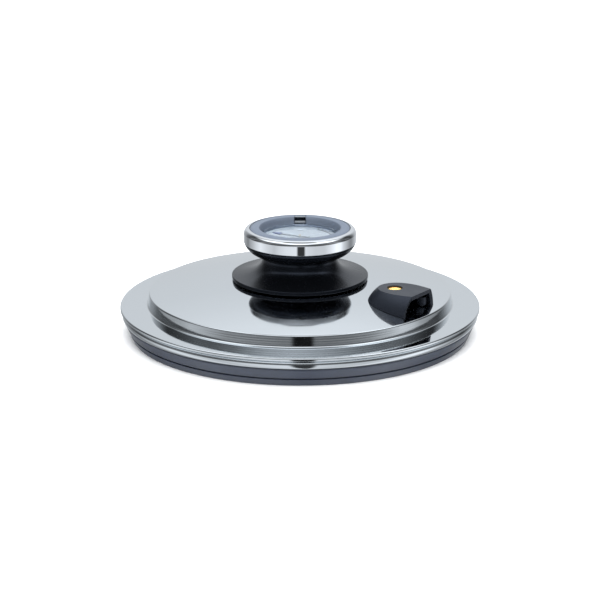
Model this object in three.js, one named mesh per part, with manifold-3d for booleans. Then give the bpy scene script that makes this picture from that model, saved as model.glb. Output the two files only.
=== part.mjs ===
// A steam-cooking pot lid: a domed stainless lid on a rubber plug seal, with a thermometer knob in
// the middle and a steam outlet with a press button near its edge. Millimetres, +Z up. The origin is
// on the lid's axis, level with the foot of the seal.
import * as THREE from 'three';
import { mergeVertices } from 'three/addons/utils/BufferGeometryUtils.js';
import Module from 'manifold-3d';

const wasm = await Module();
wasm.setup();

// ---- Driving dimensions ---------------------------------------------------------------------------

const FIT = 0.3; // gap between two pieces that touch
const SHEET = 1.0; // stainless sheet of the lid

// Lid
const RIM_R = 107.5; // outer edge of the rim
const RIM_Z = 17.0; // widest circle of the rim above the foot of the seal
const RIM_EDGE = 0.9; // half the thickness of the rolled rim edge
const SHELF_WIDTH = 17.3; // rim edge in to the plateau
const SHELF_RISE = 1.95; // inner end of the shelf above the widest circle
const SHELF_FALL = 0.75; // slope of the shelf from its inner to its outer end
const PLATEAU_RISE = 8.9; // plateau edge above the widest circle
const DOME_SAG = 8.8; // crown of the plateau above its edge
const WALL_DRAFT = 0.8; // lean of the step between shelf and plateau
const EDGE_ROUND = 1.2; // bend radius at the plateau's edge and at the shelf
const BAND_INSET = 2.3; // rim edge in to the narrow parts of the rim band
const BAND_BULGE = 1.26; // crown of the rim band
const BAND_DROP = 5.9; // lower edge of the rim band under the widest circle
const BAND_THICKNESS = 1.2; // thinnest stretch of the rim band

// Seal
const SEAL_TAPER = 4.5; // how much the plug narrows from its top to its foot
const SEAL_FOOT = 5.9; // width of the flat foot
const SEAL_ROUND = 0.6; // corner at the foot
const GROOVE_Z = 3.9; // lower edge of the groove round the seal
const GROOVE_HEIGHT = 1.1;
const GROOVE_DEPTH = 1.0;
const CARRIER_SHEET = 0.8; // ring that holds the seal
const CARRIER_LIP = 2.6;
const CARRIER_FLANGE = 3.4;
const CARRIER_GAP = 2.4; // wall of the lid's step in to the carrier
const CARRIER_FOOT_Z = 7.2;

// Knob
const STUD_R = 4.0;
const PROBE_R = 1.9;
const FLANGE_R = 40.6; // heat shield at the foot of the knob
const FLANGE_GAP = 0.86; // its edge above the lid
const FLANGE_EDGE = 2.2; // thickness of its edge
const FLANGE_ROUND = 0.4; // corners of its edge
const FLANGE_LIP = 2.6; // width of the bead under its edge
const NECK_R = 22.4;
const NECK_RISE = 11.0; // neck above the flange's edge
const BOWL_LEDGE = 1.6; // foot of the bowl past the neck
const SPIGOT = 2.0; // how far the bowl reaches down into the neck
const KNOB_WALL = 2.4;
const HUB_FLOOR = 3.0;
const BOWL_R = 33.2; // widest circle of the grip bowl
const BOWL_RISE = 8.3;
const CHROME_OVERHANG = 0.32; // how far the chrome ring stands past the bowl
const CHROME_WALL = 1.3;
const CHROME_BAND = 5.7; // straight part of the chrome ring
const CHROME_SHOULDER = 2.7; // rise of its rounded shoulder
const SHOULDER_WIDTH = 3.87; // chrome ring's outside in to the bezel
const BEZEL_CROWN = 0.35;
const BEZEL_WIDTH = 5.85; // bezel's outside in to the mouth of the dial well
const WELL_DEPTH = 4.0;
const WELL_TAPER = 1.2;
const LENS_THICKNESS = 0.8;
const POINTER_ROOM = 1.5; // dial up to the lens
const DIAL_THICKNESS = 0.8;
const CUP_INSET = 6.7; // bowl's outside in to the thermometer cup
const CUP_SHEET = 1.3;
const NOTCH_WIDTH = 7.1;
const NOTCH_REACH = 3.6; // notch past the mouth of the dial well
const CATCH_STRIP = 0.6; // bent strip of the docking catch
const SPINDLE_R = 0.9;
const POINTER_MARGIN = 4.3; // edge of the dial in to the pointer's tip
const POINTER_COLD_AZIMUTH = 155; // degrees from +X, where the pointer rests when cold
const KNOB_SCREW_R = 1.5;
const KNOB_SCREW_CIRCLE = 14.5;
const KNOB_SCREWS = 3;

// Steam outlet, which lies along one radius of the lid
const OUTLET_AZIMUTH = -35.5; // degrees from +X
const MOUTH_SETBACK = 4.4; // plateau edge in to the mouth of the hood
const HOOD_MOUTH_LEAN = 1.8; // top of the mouth past its foot
const HOOD_LENGTH = 33.6; // along the foot
const HOOD_BASE_HALF = 17.4;
const HOOD_TOP_HALF = 12.0;
const HOOD_TOP_LENGTH = 28.0;
const HOOD_BULGE = 2.4; // how upright the hood's sides start, as a power of the height
const HOOD_RISE = 9.0; // flat top above the lid at the button
const HOOD_WALL = 2.2;
const BUTTON_SETBACK = 18.3; // mouth in to the button
const BUTTON_R = 4.2;
const BUTTON_RECESS = 0.3; // crown of the button under the hood's top
const BUTTON_CROWN = 0.9;
const BUTTON_TRAVEL = 1.8;
const STEM_R = 1.4;
const STEM_ROOM = 1.2; // steam's way round the stem
const VALVE_WALL = 1.4; // wall of the valve tube round its spring
const VALVE_FLANGE_WIDTH = 1.5;
const VALVE_FLANGE = 1.2;
const VALVE_NUT_WIDTH = 3.5; // valve tube out to the nut's corners
const VALVE_NUT_HEIGHT = 4.0;
const GASKET = 0.6; // thinnest part of each rubber washer
const SPRING_WIRE = 0.7;
const SPRING_TURNS = 4;
const SPRING_POCKET = 6.0; // depth of its pocket in the valve tube
const HOOD_SCREW_R = 1.5;
const HOOD_SCREW_SETBACK = 6.6; // mouth in to the two screws
const HOOD_SCREW_SPREAD = 10.4; // each screw out from the middle
const HOOD_BOSS_DROP = 5.6; // flat top down to the screw bosses
const HOOD_SCREW_HEAD_R = 3.2;
const SCREW_COVER = 1.0; // material over the end of a hood screw's hole
const SLEEVE_WALL = 1.3; // sleeve that guides the button

// Facets of the round pieces
const LID_FACETS = 48;
const KNOB_FACETS = 36;
const SMALL_FACETS = 20;
const SCREW_FACETS = 12;

// ---- Shape helpers --------------------------------------------------------------------------------

const point = (r, z) => new THREE.Vector2(r, z);
const radians = THREE.MathUtils.degToRad;

// Points on an arc about (centreR, centreZ), both ends included, angles in degrees.
function arc(centreR, centreZ, radius, from, to, steps) {
  const points = [];
  for (let i = 0; i <= steps; i += 1) {
    const angle = radians(from + ((to - from) * i) / steps);
    points.push(point(centreR + radius * Math.cos(angle), centreZ + radius * Math.sin(angle)));
  }
  return points;
}

function curve(start, control1, control2, end, steps) {
  return new THREE.CubicBezierCurve(start, control1, control2, end).getPoints(steps);
}

function signedVolume(geometry) {
  const position = geometry.getAttribute('position');
  const corner = [new THREE.Vector3(), new THREE.Vector3(), new THREE.Vector3()];
  let total = 0;
  for (let i = 0; i < geometry.index.count; i += 3) {
    corner.forEach((vertex, k) => vertex.fromBufferAttribute(position, geometry.index.getX(i + k)));
    total += corner[0].dot(corner[1].clone().cross(corner[2]));
  }
  return total;
}

// A closed mesh with shared vertices, no empty triangles and its faces pointing out.
function weld(geometry) {
  const bare = new THREE.BufferGeometry();
  bare.setAttribute('position', geometry.getAttribute('position'));
  bare.setIndex(geometry.index);
  const merged = mergeVertices(bare, 1e-4);
  const kept = [];
  for (let i = 0; i < merged.index.count; i += 3) {
    const [a, b, c] = [0, 1, 2].map((k) => merged.index.getX(i + k));
    if (a !== b && b !== c && c !== a) kept.push(a, b, c);
  }
  merged.setIndex(kept);
  if (signedVolume(merged) < 0) merged.setIndex(kept.reverse());
  return merged;
}

// A solid of revolution about Z from a closed outline of (radius, height) points.
function revolve(outline, facets) {
  const geometry = new THREE.LatheGeometry([...outline, outline[0].clone()], facets);
  geometry.rotateX(Math.PI / 2);
  return weld(geometry);
}

function ring(inner, outer, low, high, facets) {
  return revolve([point(inner, low), point(outer, low), point(outer, high), point(inner, high)], facets);
}

function rod(radius, low, high, facets) {
  return revolve([point(0, low), point(radius, low), point(radius, high), point(0, high)], facets);
}

function block(sizeX, sizeY, low, high, x, y) {
  const geometry = new THREE.BoxGeometry(sizeX, sizeY, high - low);
  geometry.translate(x, y, (low + high) / 2);
  return weld(geometry);
}

function prism(shape, low, high) {
  const geometry = new THREE.ExtrudeGeometry(shape, { depth: high - low, bevelEnabled: false });
  geometry.translate(0, 0, low);
  return weld(geometry);
}

function tube(path, radius, steps, sides) {
  const section = new THREE.Shape(new THREE.Path().absarc(0, 0, radius, 0, 2 * Math.PI).getPoints(sides / 2));
  return weld(new THREE.ExtrudeGeometry(section, { steps, extrudePath: path, bevelEnabled: false }));
}

// A solid through outlines of equal point counts, from the lowest to the highest.
function loft(levels) {
  const count = levels[0].length;
  const geometry = new THREE.CylinderGeometry(1, 1, 1, count, levels.length - 1);
  const position = geometry.getAttribute('position');
  const vertex = new THREE.Vector3();
  for (let i = 0; i < position.count; i += 1) {
    vertex.fromBufferAttribute(position, i);
    const level = levels[Math.round((vertex.y + 0.5) * (levels.length - 1))];
    const turn = Math.atan2(vertex.x, vertex.z) / (2 * Math.PI);
    const slot = (Math.round(turn * count) + count) % count;
    const onAxis = Math.hypot(vertex.x, vertex.z) < 0.5;
    const centre = level[0].clone().lerp(level[count / 2], 0.5);
    position.setXYZ(i, ...(onAxis ? centre : level[slot]).toArray());
  }
  return weld(geometry);
}

function toManifold(geometry) {
  const mesh = new wasm.Mesh({
    numProp: 3,
    vertProperties: new Float32Array(geometry.getAttribute('position').array),
    triVerts: new Uint32Array(geometry.index.array),
  });
  return new wasm.Manifold(mesh);
}

function fromManifold(manifold) {
  const mesh = manifold.getMesh();
  const geometry = new THREE.BufferGeometry();
  geometry.setAttribute('position', new THREE.BufferAttribute(mesh.vertProperties, 3));
  geometry.setIndex(Array.from(mesh.triVerts));
  return geometry;
}

function cut(body, ...tools) {
  return fromManifold(tools.reduce((rest, tool) => rest.subtract(toManifold(tool)), toManifold(body)));
}

function join(body, ...others) {
  return fromManifold(others.reduce((sum, other) => sum.add(toManifold(other)), toManifold(body)));
}

function moved(geometry, x, y, z) {
  return geometry.clone().translate(x, y, z);
}

function part(name, geometry, material) {
  const { color, roughness, metalness } = material;
  const mesh = new THREE.Mesh(geometry, new THREE.MeshStandardMaterial({ color, roughness, metalness }));
  mesh.name = name;
  return mesh;
}

const POLISHED_STEEL = { color: '#d4d8dc', roughness: 0.08, metalness: 1 };
const PLAIN_STEEL = { color: '#b4b8bc', roughness: 0.35, metalness: 1 };
const BRASS = { color: '#c2a15a', roughness: 0.35, metalness: 1 };
const CHROME = { color: '#e6e9ec', roughness: 0.05, metalness: 1 };
const ALUMINIUM = { color: '#c4c8cc', roughness: 0.4, metalness: 1 };
const BLACK_PHENOLIC = { color: '#15161a', roughness: 0.45, metalness: 0 };
const GREY_PLASTIC = { color: '#4c505a', roughness: 0.5, metalness: 0 };
const BEZEL_PLASTIC = { color: '#7d8795', roughness: 0.45, metalness: 0 };
const DIAL_PAINT = { color: '#c3cbd3', roughness: 0.5, metalness: 0 };
const POINTER_PAINT = { color: '#2c3c66', roughness: 0.4, metalness: 0 };
const LENS_PLASTIC = { color: '#eef4f8', roughness: 0.05, metalness: 0 };
const SEAL_RUBBER = { color: '#3e4552', roughness: 0.55, metalness: 0 };
const WHITE_SILICONE = { color: '#d9dcdc', roughness: 0.6, metalness: 0 };
const AMBER_PLASTIC = { color: '#f0ab3c', roughness: 0.35, metalness: 0 };

// ---- Lid ------------------------------------------------------------------------------------------

const PLATEAU_R = RIM_R - SHELF_WIDTH;
const PLATEAU_EDGE_Z = RIM_Z + PLATEAU_RISE;
const LID_CROWN_Z = PLATEAU_EDGE_Z + DOME_SAG;
const DOME_RADIUS = (PLATEAU_R ** 2 + DOME_SAG ** 2) / (2 * DOME_SAG);
const WALL_FOOT_R = PLATEAU_R + WALL_DRAFT;
const SHELF_IN_Z = RIM_Z + SHELF_RISE;
const SHELF_OUT_Z = SHELF_IN_Z - SHELF_FALL;
const BAND_R = RIM_R - BAND_INSET;
const BAND_INNER_R = BAND_R - BAND_THICKNESS;
const BAND_LOW_Z = RIM_Z - BAND_DROP;
const BAND_TOP_Z = RIM_Z - RIM_EDGE - 0.5;
const STUD_HOLE_R = STUD_R + FIT;

const DOME_STEPS = 6;

const lidTop = (r) => LID_CROWN_Z - DOME_RADIUS + Math.sqrt(DOME_RADIUS ** 2 - r ** 2);
const lidUnder = (r) => lidTop(r) - SHEET;

// Points along the dome between two radii, raised or lowered by an offset.
function domePoints(fromR, toR, offset, steps) {
  const points = [];
  for (let i = 0; i <= steps; i += 1) {
    const r = fromR + ((toR - fromR) * i) / steps;
    points.push(point(r, lidTop(r) + offset));
  }
  return points;
}

// Everything under the plateau's top surface, for fitting pieces that stand on it.
function underDome(offset) {
  const reach = PLATEAU_R + SHEET;
  const outline = [point(0, 0), point(reach, 0), ...domePoints(reach, 0, offset, 2 * DOME_STEPS)];
  return revolve(outline, LID_FACETS);
}

// Everything over the plateau's underside.
function overDome(offset) {
  const reach = PLATEAU_R + SHEET;
  const high = LID_CROWN_Z + SHELF_WIDTH;
  const underside = domePoints(0, reach, offset - SHEET, 2 * DOME_STEPS);
  return revolve([...underside, point(reach, high), point(0, high)], LID_FACETS);
}

function lidShell(holes) {
  const edgeZ = lidTop(PLATEAU_R - EDGE_ROUND) - EDGE_ROUND;
  const innerWallR = PLATEAU_R - SHEET;
  const shelfFootR = WALL_FOOT_R + EDGE_ROUND;
  const underShelfZ = SHELF_IN_Z - SHEET;
  const underBandZ = SHELF_OUT_Z - SHEET;
  const outline = [
    ...domePoints(STUD_HOLE_R, PLATEAU_R - EDGE_ROUND, 0, DOME_STEPS),
    ...arc(PLATEAU_R - EDGE_ROUND, edgeZ, EDGE_ROUND, 60, 0, 2),
    ...arc(shelfFootR, SHELF_IN_Z + EDGE_ROUND, EDGE_ROUND, 180, 270, 3),
    ...arc(RIM_R - RIM_EDGE, SHELF_OUT_Z - RIM_EDGE, RIM_EDGE, 90, -60, 5),
    point(BAND_R, BAND_TOP_Z),
    point(BAND_R + BAND_BULGE, (BAND_TOP_Z + BAND_LOW_Z) / 2 + 1),
    point(BAND_R + BAND_BULGE, (BAND_TOP_Z + BAND_LOW_Z) / 2 - 0.7),
    point(BAND_R, BAND_LOW_Z),
    point(BAND_INNER_R, BAND_LOW_Z),
    point(BAND_INNER_R, underBandZ - 0.8),
    point(BAND_INNER_R - 0.8, underBandZ),
    point(WALL_FOOT_R + 0.4, underShelfZ),
    point(WALL_FOOT_R - SHEET, underShelfZ + 0.8),
    point(innerWallR, edgeZ - 0.2),
    ...domePoints(innerWallR - 0.9, STUD_HOLE_R, -SHEET, DOME_STEPS),
  ];
  return cut(revolve(outline, LID_FACETS), ...holes);
}

// ---- Seal -----------------------------------------------------------------------------------------

const CARRIER_R = WALL_FOOT_R - SHEET + CARRIER_GAP;
const CARRIER_OUTER_R = CARRIER_R + CARRIER_SHEET;
const CARRIER_TOP_Z = SHELF_OUT_Z - SHEET - FIT;

function sealCarrier() {
  const flangeR = CARRIER_OUTER_R + CARRIER_FLANGE;
  const lipR = CARRIER_OUTER_R + CARRIER_LIP;
  return revolve([
    point(CARRIER_R, CARRIER_FOOT_Z),
    point(lipR, CARRIER_FOOT_Z),
    point(lipR, CARRIER_FOOT_Z + CARRIER_SHEET),
    point(CARRIER_OUTER_R, CARRIER_FOOT_Z + CARRIER_SHEET),
    point(CARRIER_OUTER_R, CARRIER_TOP_Z - CARRIER_SHEET),
    point(flangeR, CARRIER_TOP_Z - CARRIER_SHEET),
    point(flangeR, CARRIER_TOP_Z),
    point(CARRIER_R, CARRIER_TOP_Z),
  ], LID_FACETS);
}

function sealRing() {
  const topZ = BAND_LOW_Z - FIT;
  const footR = BAND_R - SEAL_TAPER;
  const sideR = (z) => footR + (SEAL_TAPER * z) / topZ;
  const rootR = BAND_INNER_R - FIT;
  const rootZ = CARRIER_TOP_Z - FIT;
  const gripR = CARRIER_OUTER_R + FIT;
  const lipR = gripR + CARRIER_LIP;
  const flangeR = gripR + CARRIER_FLANGE;
  const grooveTop = GROOVE_Z + GROOVE_HEIGHT;
  return revolve([
    point(footR - SEAL_FOOT, 0),
    point(footR - SEAL_ROUND, 0),
    point(footR, SEAL_ROUND),
    point(sideR(GROOVE_Z), GROOVE_Z),
    point(sideR(GROOVE_Z) - GROOVE_DEPTH, GROOVE_Z + 0.2),
    point(sideR(GROOVE_Z) - GROOVE_DEPTH, grooveTop - 0.1),
    point(sideR(grooveTop), grooveTop),
    point(sideR(topZ) - 0.2, topZ - 0.6),
    point(sideR(topZ) - 0.2, topZ),
    point(rootR, topZ),
    point(rootR, rootZ - SEAL_ROUND),
    point(rootR - SEAL_ROUND, rootZ),
    point(flangeR, rootZ),
    point(flangeR, CARRIER_TOP_Z - CARRIER_SHEET - FIT),
    point(gripR, CARRIER_TOP_Z - CARRIER_SHEET - FIT),
    point(gripR, CARRIER_FOOT_Z + CARRIER_SHEET + FIT),
    point(lipR, CARRIER_FOOT_Z + CARRIER_SHEET + FIT),
    point(lipR, CARRIER_FOOT_Z - FIT),
    point(gripR, CARRIER_FOOT_Z - FIT),
    point(footR - SEAL_FOOT, SEAL_ROUND * 2),
  ], LID_FACETS);
}

// ---- Knob -----------------------------------------------------------------------------------------

const BASE_WASHER_Z = LID_CROWN_Z + FIT;
const BASE_WASHER_R = 13.5;
const BASE_WASHER = 0.8;
const HUB_Z = BASE_WASHER_Z + BASE_WASHER + FIT;
const HUB_TOP_Z = HUB_Z + HUB_FLOOR;
const FLANGE_LOW_Z = lidTop(FLANGE_R) + FLANGE_GAP;
const FLANGE_TOP_Z = FLANGE_LOW_Z + FLANGE_EDGE;
const NECK_Z = FLANGE_TOP_Z + NECK_RISE;
const BOWL_Z = NECK_Z + FIT;
const BOWL_SHOULDER_Z = BOWL_Z + BOWL_RISE;
const BOWL_FLOOR = 3.9;
const SPIGOT_Z = BOWL_Z - SPIGOT;
const BOWL_FLOOR_Z = SPIGOT_Z + BOWL_FLOOR;
const CHROME_LOW_Z = BOWL_SHOULDER_Z + FIT;
const CHROME_R = BOWL_R + CHROME_OVERHANG;
const CHROME_CREASE_Z = CHROME_LOW_Z + CHROME_BAND;
const CHROME_TOP_Z = CHROME_CREASE_Z + CHROME_SHOULDER;
const KNOB_TOP_Z = CHROME_TOP_Z + BEZEL_CROWN;
const BEZEL_R = CHROME_R - SHOULDER_WIDTH;
const WELL_R = BEZEL_R - BEZEL_WIDTH; // mouth of the dial well
const CUP_R = BOWL_R - CUP_INSET; // thermometer cup
const BOWL_RIM_R = CHROME_R - CHROME_WALL - FIT;
const BOWL_RIM_Z = CHROME_CREASE_Z - CHROME_WALL - FIT;
const BEZEL_FIT_R = BEZEL_R - 0.2;
const LENS_TOP_Z = KNOB_TOP_Z - WELL_DEPTH;
const LENS_LOW_Z = LENS_TOP_Z - LENS_THICKNESS;
const DIAL_TOP_Z = LENS_LOW_Z - POINTER_ROOM;
const DIAL_LOW_Z = DIAL_TOP_Z - DIAL_THICKNESS;
const WELL_FOOT_R = WELL_R - WELL_TAPER;
const LENS_R = WELL_FOOT_R - FIT;
const POINTER_REACH = LENS_R - POINTER_MARGIN;
const BEZEL_LOW_Z = DIAL_LOW_Z + 0.5;
const CUP_FLANGE_Z = DIAL_LOW_Z - FIT;
const CUP_FLANGE_R = BEZEL_FIT_R - 0.8;
const CUP_POCKET_R = CUP_R + FIT;
const CUP_LEDGE_Z = CUP_FLANGE_Z - CUP_SHEET - FIT;
const CUP_FLOOR_Z = BOWL_FLOOR_Z + FIT;
const NUT_R = 7.5;
const NUT_HEIGHT = 4.2;
const NUT_WASHER_R = 9.0;
const NUT_WASHER = 1.0;
const BOWL_HOLE_R = NUT_WASHER_R + 0.5;
const NUT_WASHER_Z = HUB_TOP_Z + FIT;
const NUT_Z = NUT_WASHER_Z + NUT_WASHER + FIT;
const NUT_TOP_Z = NUT_Z + NUT_HEIGHT;
const STUD_TOP_Z = NUT_TOP_Z + 1.5;
const PAD_R = 7.5;
const PAD_LOW_Z = STUD_TOP_Z + FIT;
const STUD_WASHER_R = 12.0;
const STUD_WASHER_Z = lidUnder(STUD_WASHER_R) - FIT;
const STUD_HEAD_Z = STUD_WASHER_Z - BASE_WASHER - FIT;
const STUD_HEAD = 2.4;
const STUD_HEAD_R = 13.0;
const KNOB_SCREW_HEAD_R = 2.8;
const KNOB_SCREW_HEAD = 1.6;
const PILLAR_R = KNOB_SCREW_R + FIT + 1.6;
const KNOB_SCREW_COVER = 0.8; // bowl's floor over the end of a screw

// The places of the screws that hold the bowl on the heat shield.
const knobScrewPlaces = Array.from({ length: KNOB_SCREWS }, (_, i) => {
  const angle = radians(90 + (360 / KNOB_SCREWS) * i);
  return [KNOB_SCREW_CIRCLE * Math.cos(angle), KNOB_SCREW_CIRCLE * Math.sin(angle)];
});

function knobFlange() {
  const cavityR = NECK_R - KNOB_WALL;
  const underZ = HUB_Z - 0.7;
  const outline = [
    point(STUD_HOLE_R, HUB_Z),
    point(BASE_WASHER_R + 1, HUB_Z),
    point(BASE_WASHER_R + 2, underZ),
    point(FLANGE_R - FLANGE_LIP, FLANGE_LOW_Z + FLANGE_ROUND),
    point(FLANGE_R - FLANGE_ROUND, FLANGE_LOW_Z),
    point(FLANGE_R, FLANGE_LOW_Z + FLANGE_ROUND),
    point(FLANGE_R, FLANGE_TOP_Z - FLANGE_ROUND),
    ...curve(
      point(FLANGE_R - FLANGE_ROUND, FLANGE_TOP_Z),
      point(NECK_R + 7.2, FLANGE_TOP_Z + 1.3),
      point(NECK_R, FLANGE_TOP_Z + NECK_RISE * 0.35),
      point(NECK_R, NECK_Z),
      10,
    ),
    point(cavityR, NECK_Z),
    point(cavityR, HUB_TOP_Z),
    point(STUD_HOLE_R, HUB_TOP_Z),
  ];
  const pillar = rod(PILLAR_R, HUB_Z + 1, SPIGOT_Z - FIT, SCREW_FACETS);
  const pillars = knobScrewPlaces.map(([x, y]) => moved(pillar, x, y, 0));
  const holes = knobScrewPlaces.flatMap(([x, y]) => [
    moved(rod(KNOB_SCREW_R + FIT, 0, KNOB_TOP_Z, SCREW_FACETS), x, y, 0),
    moved(rod(KNOB_SCREW_HEAD_R + FIT, 0, HUB_Z + KNOB_SCREW_HEAD + FIT, SCREW_FACETS), x, y, 0),
  ]);
  return cut(join(revolve(outline, KNOB_FACETS), ...pillars), ...holes);
}

function knobBowl() {
  const pocketTopR = BEZEL_FIT_R + FIT;
  const spigotR = NECK_R - KNOB_WALL - FIT;
  const footR = NECK_R + BOWL_LEDGE;
  const flare = BOWL_R - footR;
  const outline = [
    point(BOWL_HOLE_R, SPIGOT_Z),
    point(spigotR, SPIGOT_Z),
    point(spigotR, BOWL_Z),
    ...curve(
      point(footR, BOWL_Z),
      point(footR + flare * 0.5, BOWL_Z + BOWL_RISE * 0.27),
      point(BOWL_R - flare * 0.13, BOWL_Z + BOWL_RISE * 0.555),
      point(BOWL_R, BOWL_SHOULDER_Z),
      8,
    ),
    point(BOWL_RIM_R, BOWL_SHOULDER_Z),
    point(BOWL_RIM_R, BOWL_RIM_Z),
    point(pocketTopR, BOWL_RIM_Z),
    point(pocketTopR, CUP_LEDGE_Z),
    point(CUP_POCKET_R, CUP_LEDGE_Z),
    point(CUP_POCKET_R, BOWL_FLOOR_Z + 2),
    point(CUP_POCKET_R - 2, BOWL_FLOOR_Z),
    point(BOWL_HOLE_R, BOWL_FLOOR_Z),
  ];
  const depth = BOWL_FLOOR - KNOB_SCREW_COVER;
  const holes = knobScrewPlaces.map(([x, y]) => (
    moved(rod(KNOB_SCREW_R + FIT, SPIGOT_Z - FIT, SPIGOT_Z + depth, SCREW_FACETS), x, y, 0)
  ));
  return cut(revolve(outline, KNOB_FACETS), ...holes);
}

function knobScrew([x, y]) {
  const headZ = HUB_Z - FIT;
  const tip = BOWL_FLOOR_Z - KNOB_SCREW_COVER - FIT;
  const outline = [
    point(0, headZ),
    point(KNOB_SCREW_HEAD_R, headZ),
    point(KNOB_SCREW_HEAD_R, headZ + KNOB_SCREW_HEAD),
    point(KNOB_SCREW_R, headZ + KNOB_SCREW_HEAD),
    point(KNOB_SCREW_R, tip),
    point(0, tip),
  ];
  return moved(revolve(outline, SCREW_FACETS), x, y, 0);
}

function chromeRing() {
  const innerR = CHROME_R - CHROME_WALL;
  const seamR = BEZEL_R + FIT;
  return revolve([
    point(innerR, CHROME_LOW_Z),
    point(CHROME_R - 0.25, CHROME_LOW_Z),
    point(CHROME_R, CHROME_LOW_Z + 0.3),
    point(CHROME_R, CHROME_CREASE_Z),
    ...curve(
      point(CHROME_R - 0.25, CHROME_CREASE_Z + 0.5),
      point(CHROME_R - 0.7, CHROME_TOP_Z - 0.6),
      point(CHROME_R - 2, CHROME_TOP_Z),
      point(seamR, CHROME_TOP_Z),
      4,
    ),
    point(seamR, CHROME_TOP_Z - CHROME_WALL),
    point(innerR, CHROME_CREASE_Z - CHROME_WALL / 2),
  ], KNOB_FACETS);
}

function bezelRing() {
  const body = revolve([
    point(WELL_FOOT_R, BEZEL_LOW_Z),
    point(BEZEL_FIT_R, BEZEL_LOW_Z),
    point(BEZEL_FIT_R, CHROME_TOP_Z - CHROME_WALL - FIT),
    point(BEZEL_R, CHROME_TOP_Z - CHROME_WALL),
    point(BEZEL_R, CHROME_TOP_Z),
    point(BEZEL_R - 1.4, KNOB_TOP_Z),
    point(WELL_R + 1.4, KNOB_TOP_Z),
    point(WELL_R, CHROME_TOP_Z),
    point(WELL_FOOT_R, LENS_TOP_Z),
  ], KNOB_FACETS);
  const reach = WELL_R + NOTCH_REACH;
  const start = WELL_FOOT_R / 2;
  const notch = block(NOTCH_WIDTH, reach - start, LENS_LOW_Z, KNOB_TOP_Z + FIT, 0, (reach + start) / 2);
  return cut(body, notch);
}

// The docking catch in the notch: a back plate and a sill in one bent strip.
function dockCatch() {
  const strip = CATCH_STRIP;
  const depth = NOTCH_REACH + WELL_TAPER - 2 * FIT;
  const back = WELL_R + NOTCH_REACH - FIT;
  const low = LENS_TOP_Z + FIT;
  const width = NOTCH_WIDTH - 2 * FIT;
  const sill = block(width, depth, low, low + strip, 0, back - depth / 2);
  const plate = block(width, strip, low, KNOB_TOP_Z - FIT, 0, back - strip / 2);
  const lip = block(width, 2 * strip, KNOB_TOP_Z - FIT - strip, KNOB_TOP_Z - FIT, 0, back - strip);
  return join(sill, plate, lip);
}

function sensorCup() {
  const wallR = CUP_R - CUP_SHEET;
  const bossR = 4.0;
  return revolve([
    point(0, CUP_FLOOR_Z),
    point(CUP_R - 2, CUP_FLOOR_Z),
    point(CUP_R, CUP_FLOOR_Z + 2),
    point(CUP_R, CUP_FLANGE_Z - CUP_SHEET),
    point(CUP_FLANGE_R, CUP_FLANGE_Z - CUP_SHEET),
    point(CUP_FLANGE_R, CUP_FLANGE_Z),
    point(LENS_R - 1.6, CUP_FLANGE_Z),
    point(LENS_R - 1.6, CUP_FLANGE_Z - CUP_SHEET),
    point(wallR, CUP_FLANGE_Z - CUP_SHEET - 0.6),
    point(wallR, CUP_FLOOR_Z + 2.6),
    point(wallR - 1.6, CUP_FLOOR_Z + CUP_SHEET),
    point(bossR, CUP_FLOOR_Z + CUP_SHEET),
    point(SPINDLE_R + FIT + 1, CUP_FLOOR_Z + 2 * CUP_SHEET),
    point(SPINDLE_R + FIT, CUP_FLOOR_Z + 2 * CUP_SHEET),
    point(SPINDLE_R + FIT, CUP_FLOOR_Z + CUP_SHEET),
    point(0, CUP_FLOOR_Z + CUP_SHEET),
  ], KNOB_FACETS);
}

function heatProbe() {
  const padTop = CUP_FLOOR_Z - FIT;
  return revolve([
    point(0, STUD_HEAD_Z - STUD_HEAD - 1.2),
    point(PROBE_R - 0.6, STUD_HEAD_Z - STUD_HEAD - 1.2),
    point(PROBE_R, STUD_HEAD_Z - STUD_HEAD - 0.6),
    point(PROBE_R, PAD_LOW_Z),
    point(PAD_R, PAD_LOW_Z),
    point(PAD_R, padTop),
    point(0, padTop),
  ], SMALL_FACETS);
}

function knobStud() {
  const boreR = PROBE_R + FIT;
  const headLow = STUD_HEAD_Z - STUD_HEAD;
  return revolve([
    point(boreR, headLow),
    point(STUD_HEAD_R - 1.4, headLow),
    point(STUD_HEAD_R, headLow + 1),
    point(STUD_HEAD_R, STUD_HEAD_Z),
    point(STUD_R, STUD_HEAD_Z),
    point(STUD_R, STUD_TOP_Z - 0.5),
    point(STUD_R - 0.5, STUD_TOP_Z),
    point(boreR, STUD_TOP_Z),
  ], SMALL_FACETS);
}

function hexNut(cornerR, boreR, low, high) {
  return cut(rod(cornerR, low, high, 6), rod(boreR, low - 1, high + 1, SMALL_FACETS));
}

const BUSH_HEIGHT = 1.8;
const BUSH_WALL = 1.2;
const BUSH_FLANGE = 0.7;
const COIL_TURNS = 3;
const COIL_STRIP = 0.7;
const COIL_PITCH = 2.8;
const COIL_HEIGHT = 2.4;

// A flat strip wound from the spindle outwards.
function bimetalCoil() {
  const startR = SPINDLE_R + FIT;
  const steps = 14 * COIL_TURNS;
  const edge = (offset) => Array.from({ length: steps + 1 }, (_, i) => {
    const r = startR + (COIL_PITCH * COIL_TURNS * i) / steps + offset;
    const angle = (2 * Math.PI * COIL_TURNS * i) / steps;
    return new THREE.Vector2(r * Math.cos(angle), r * Math.sin(angle));
  });
  const outline = [...edge(COIL_STRIP), ...edge(0).reverse()];
  const low = CUP_FLOOR_Z + 2 * CUP_SHEET + FIT;
  return prism(new THREE.Shape(outline), low, low + COIL_HEIGHT);
}

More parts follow.
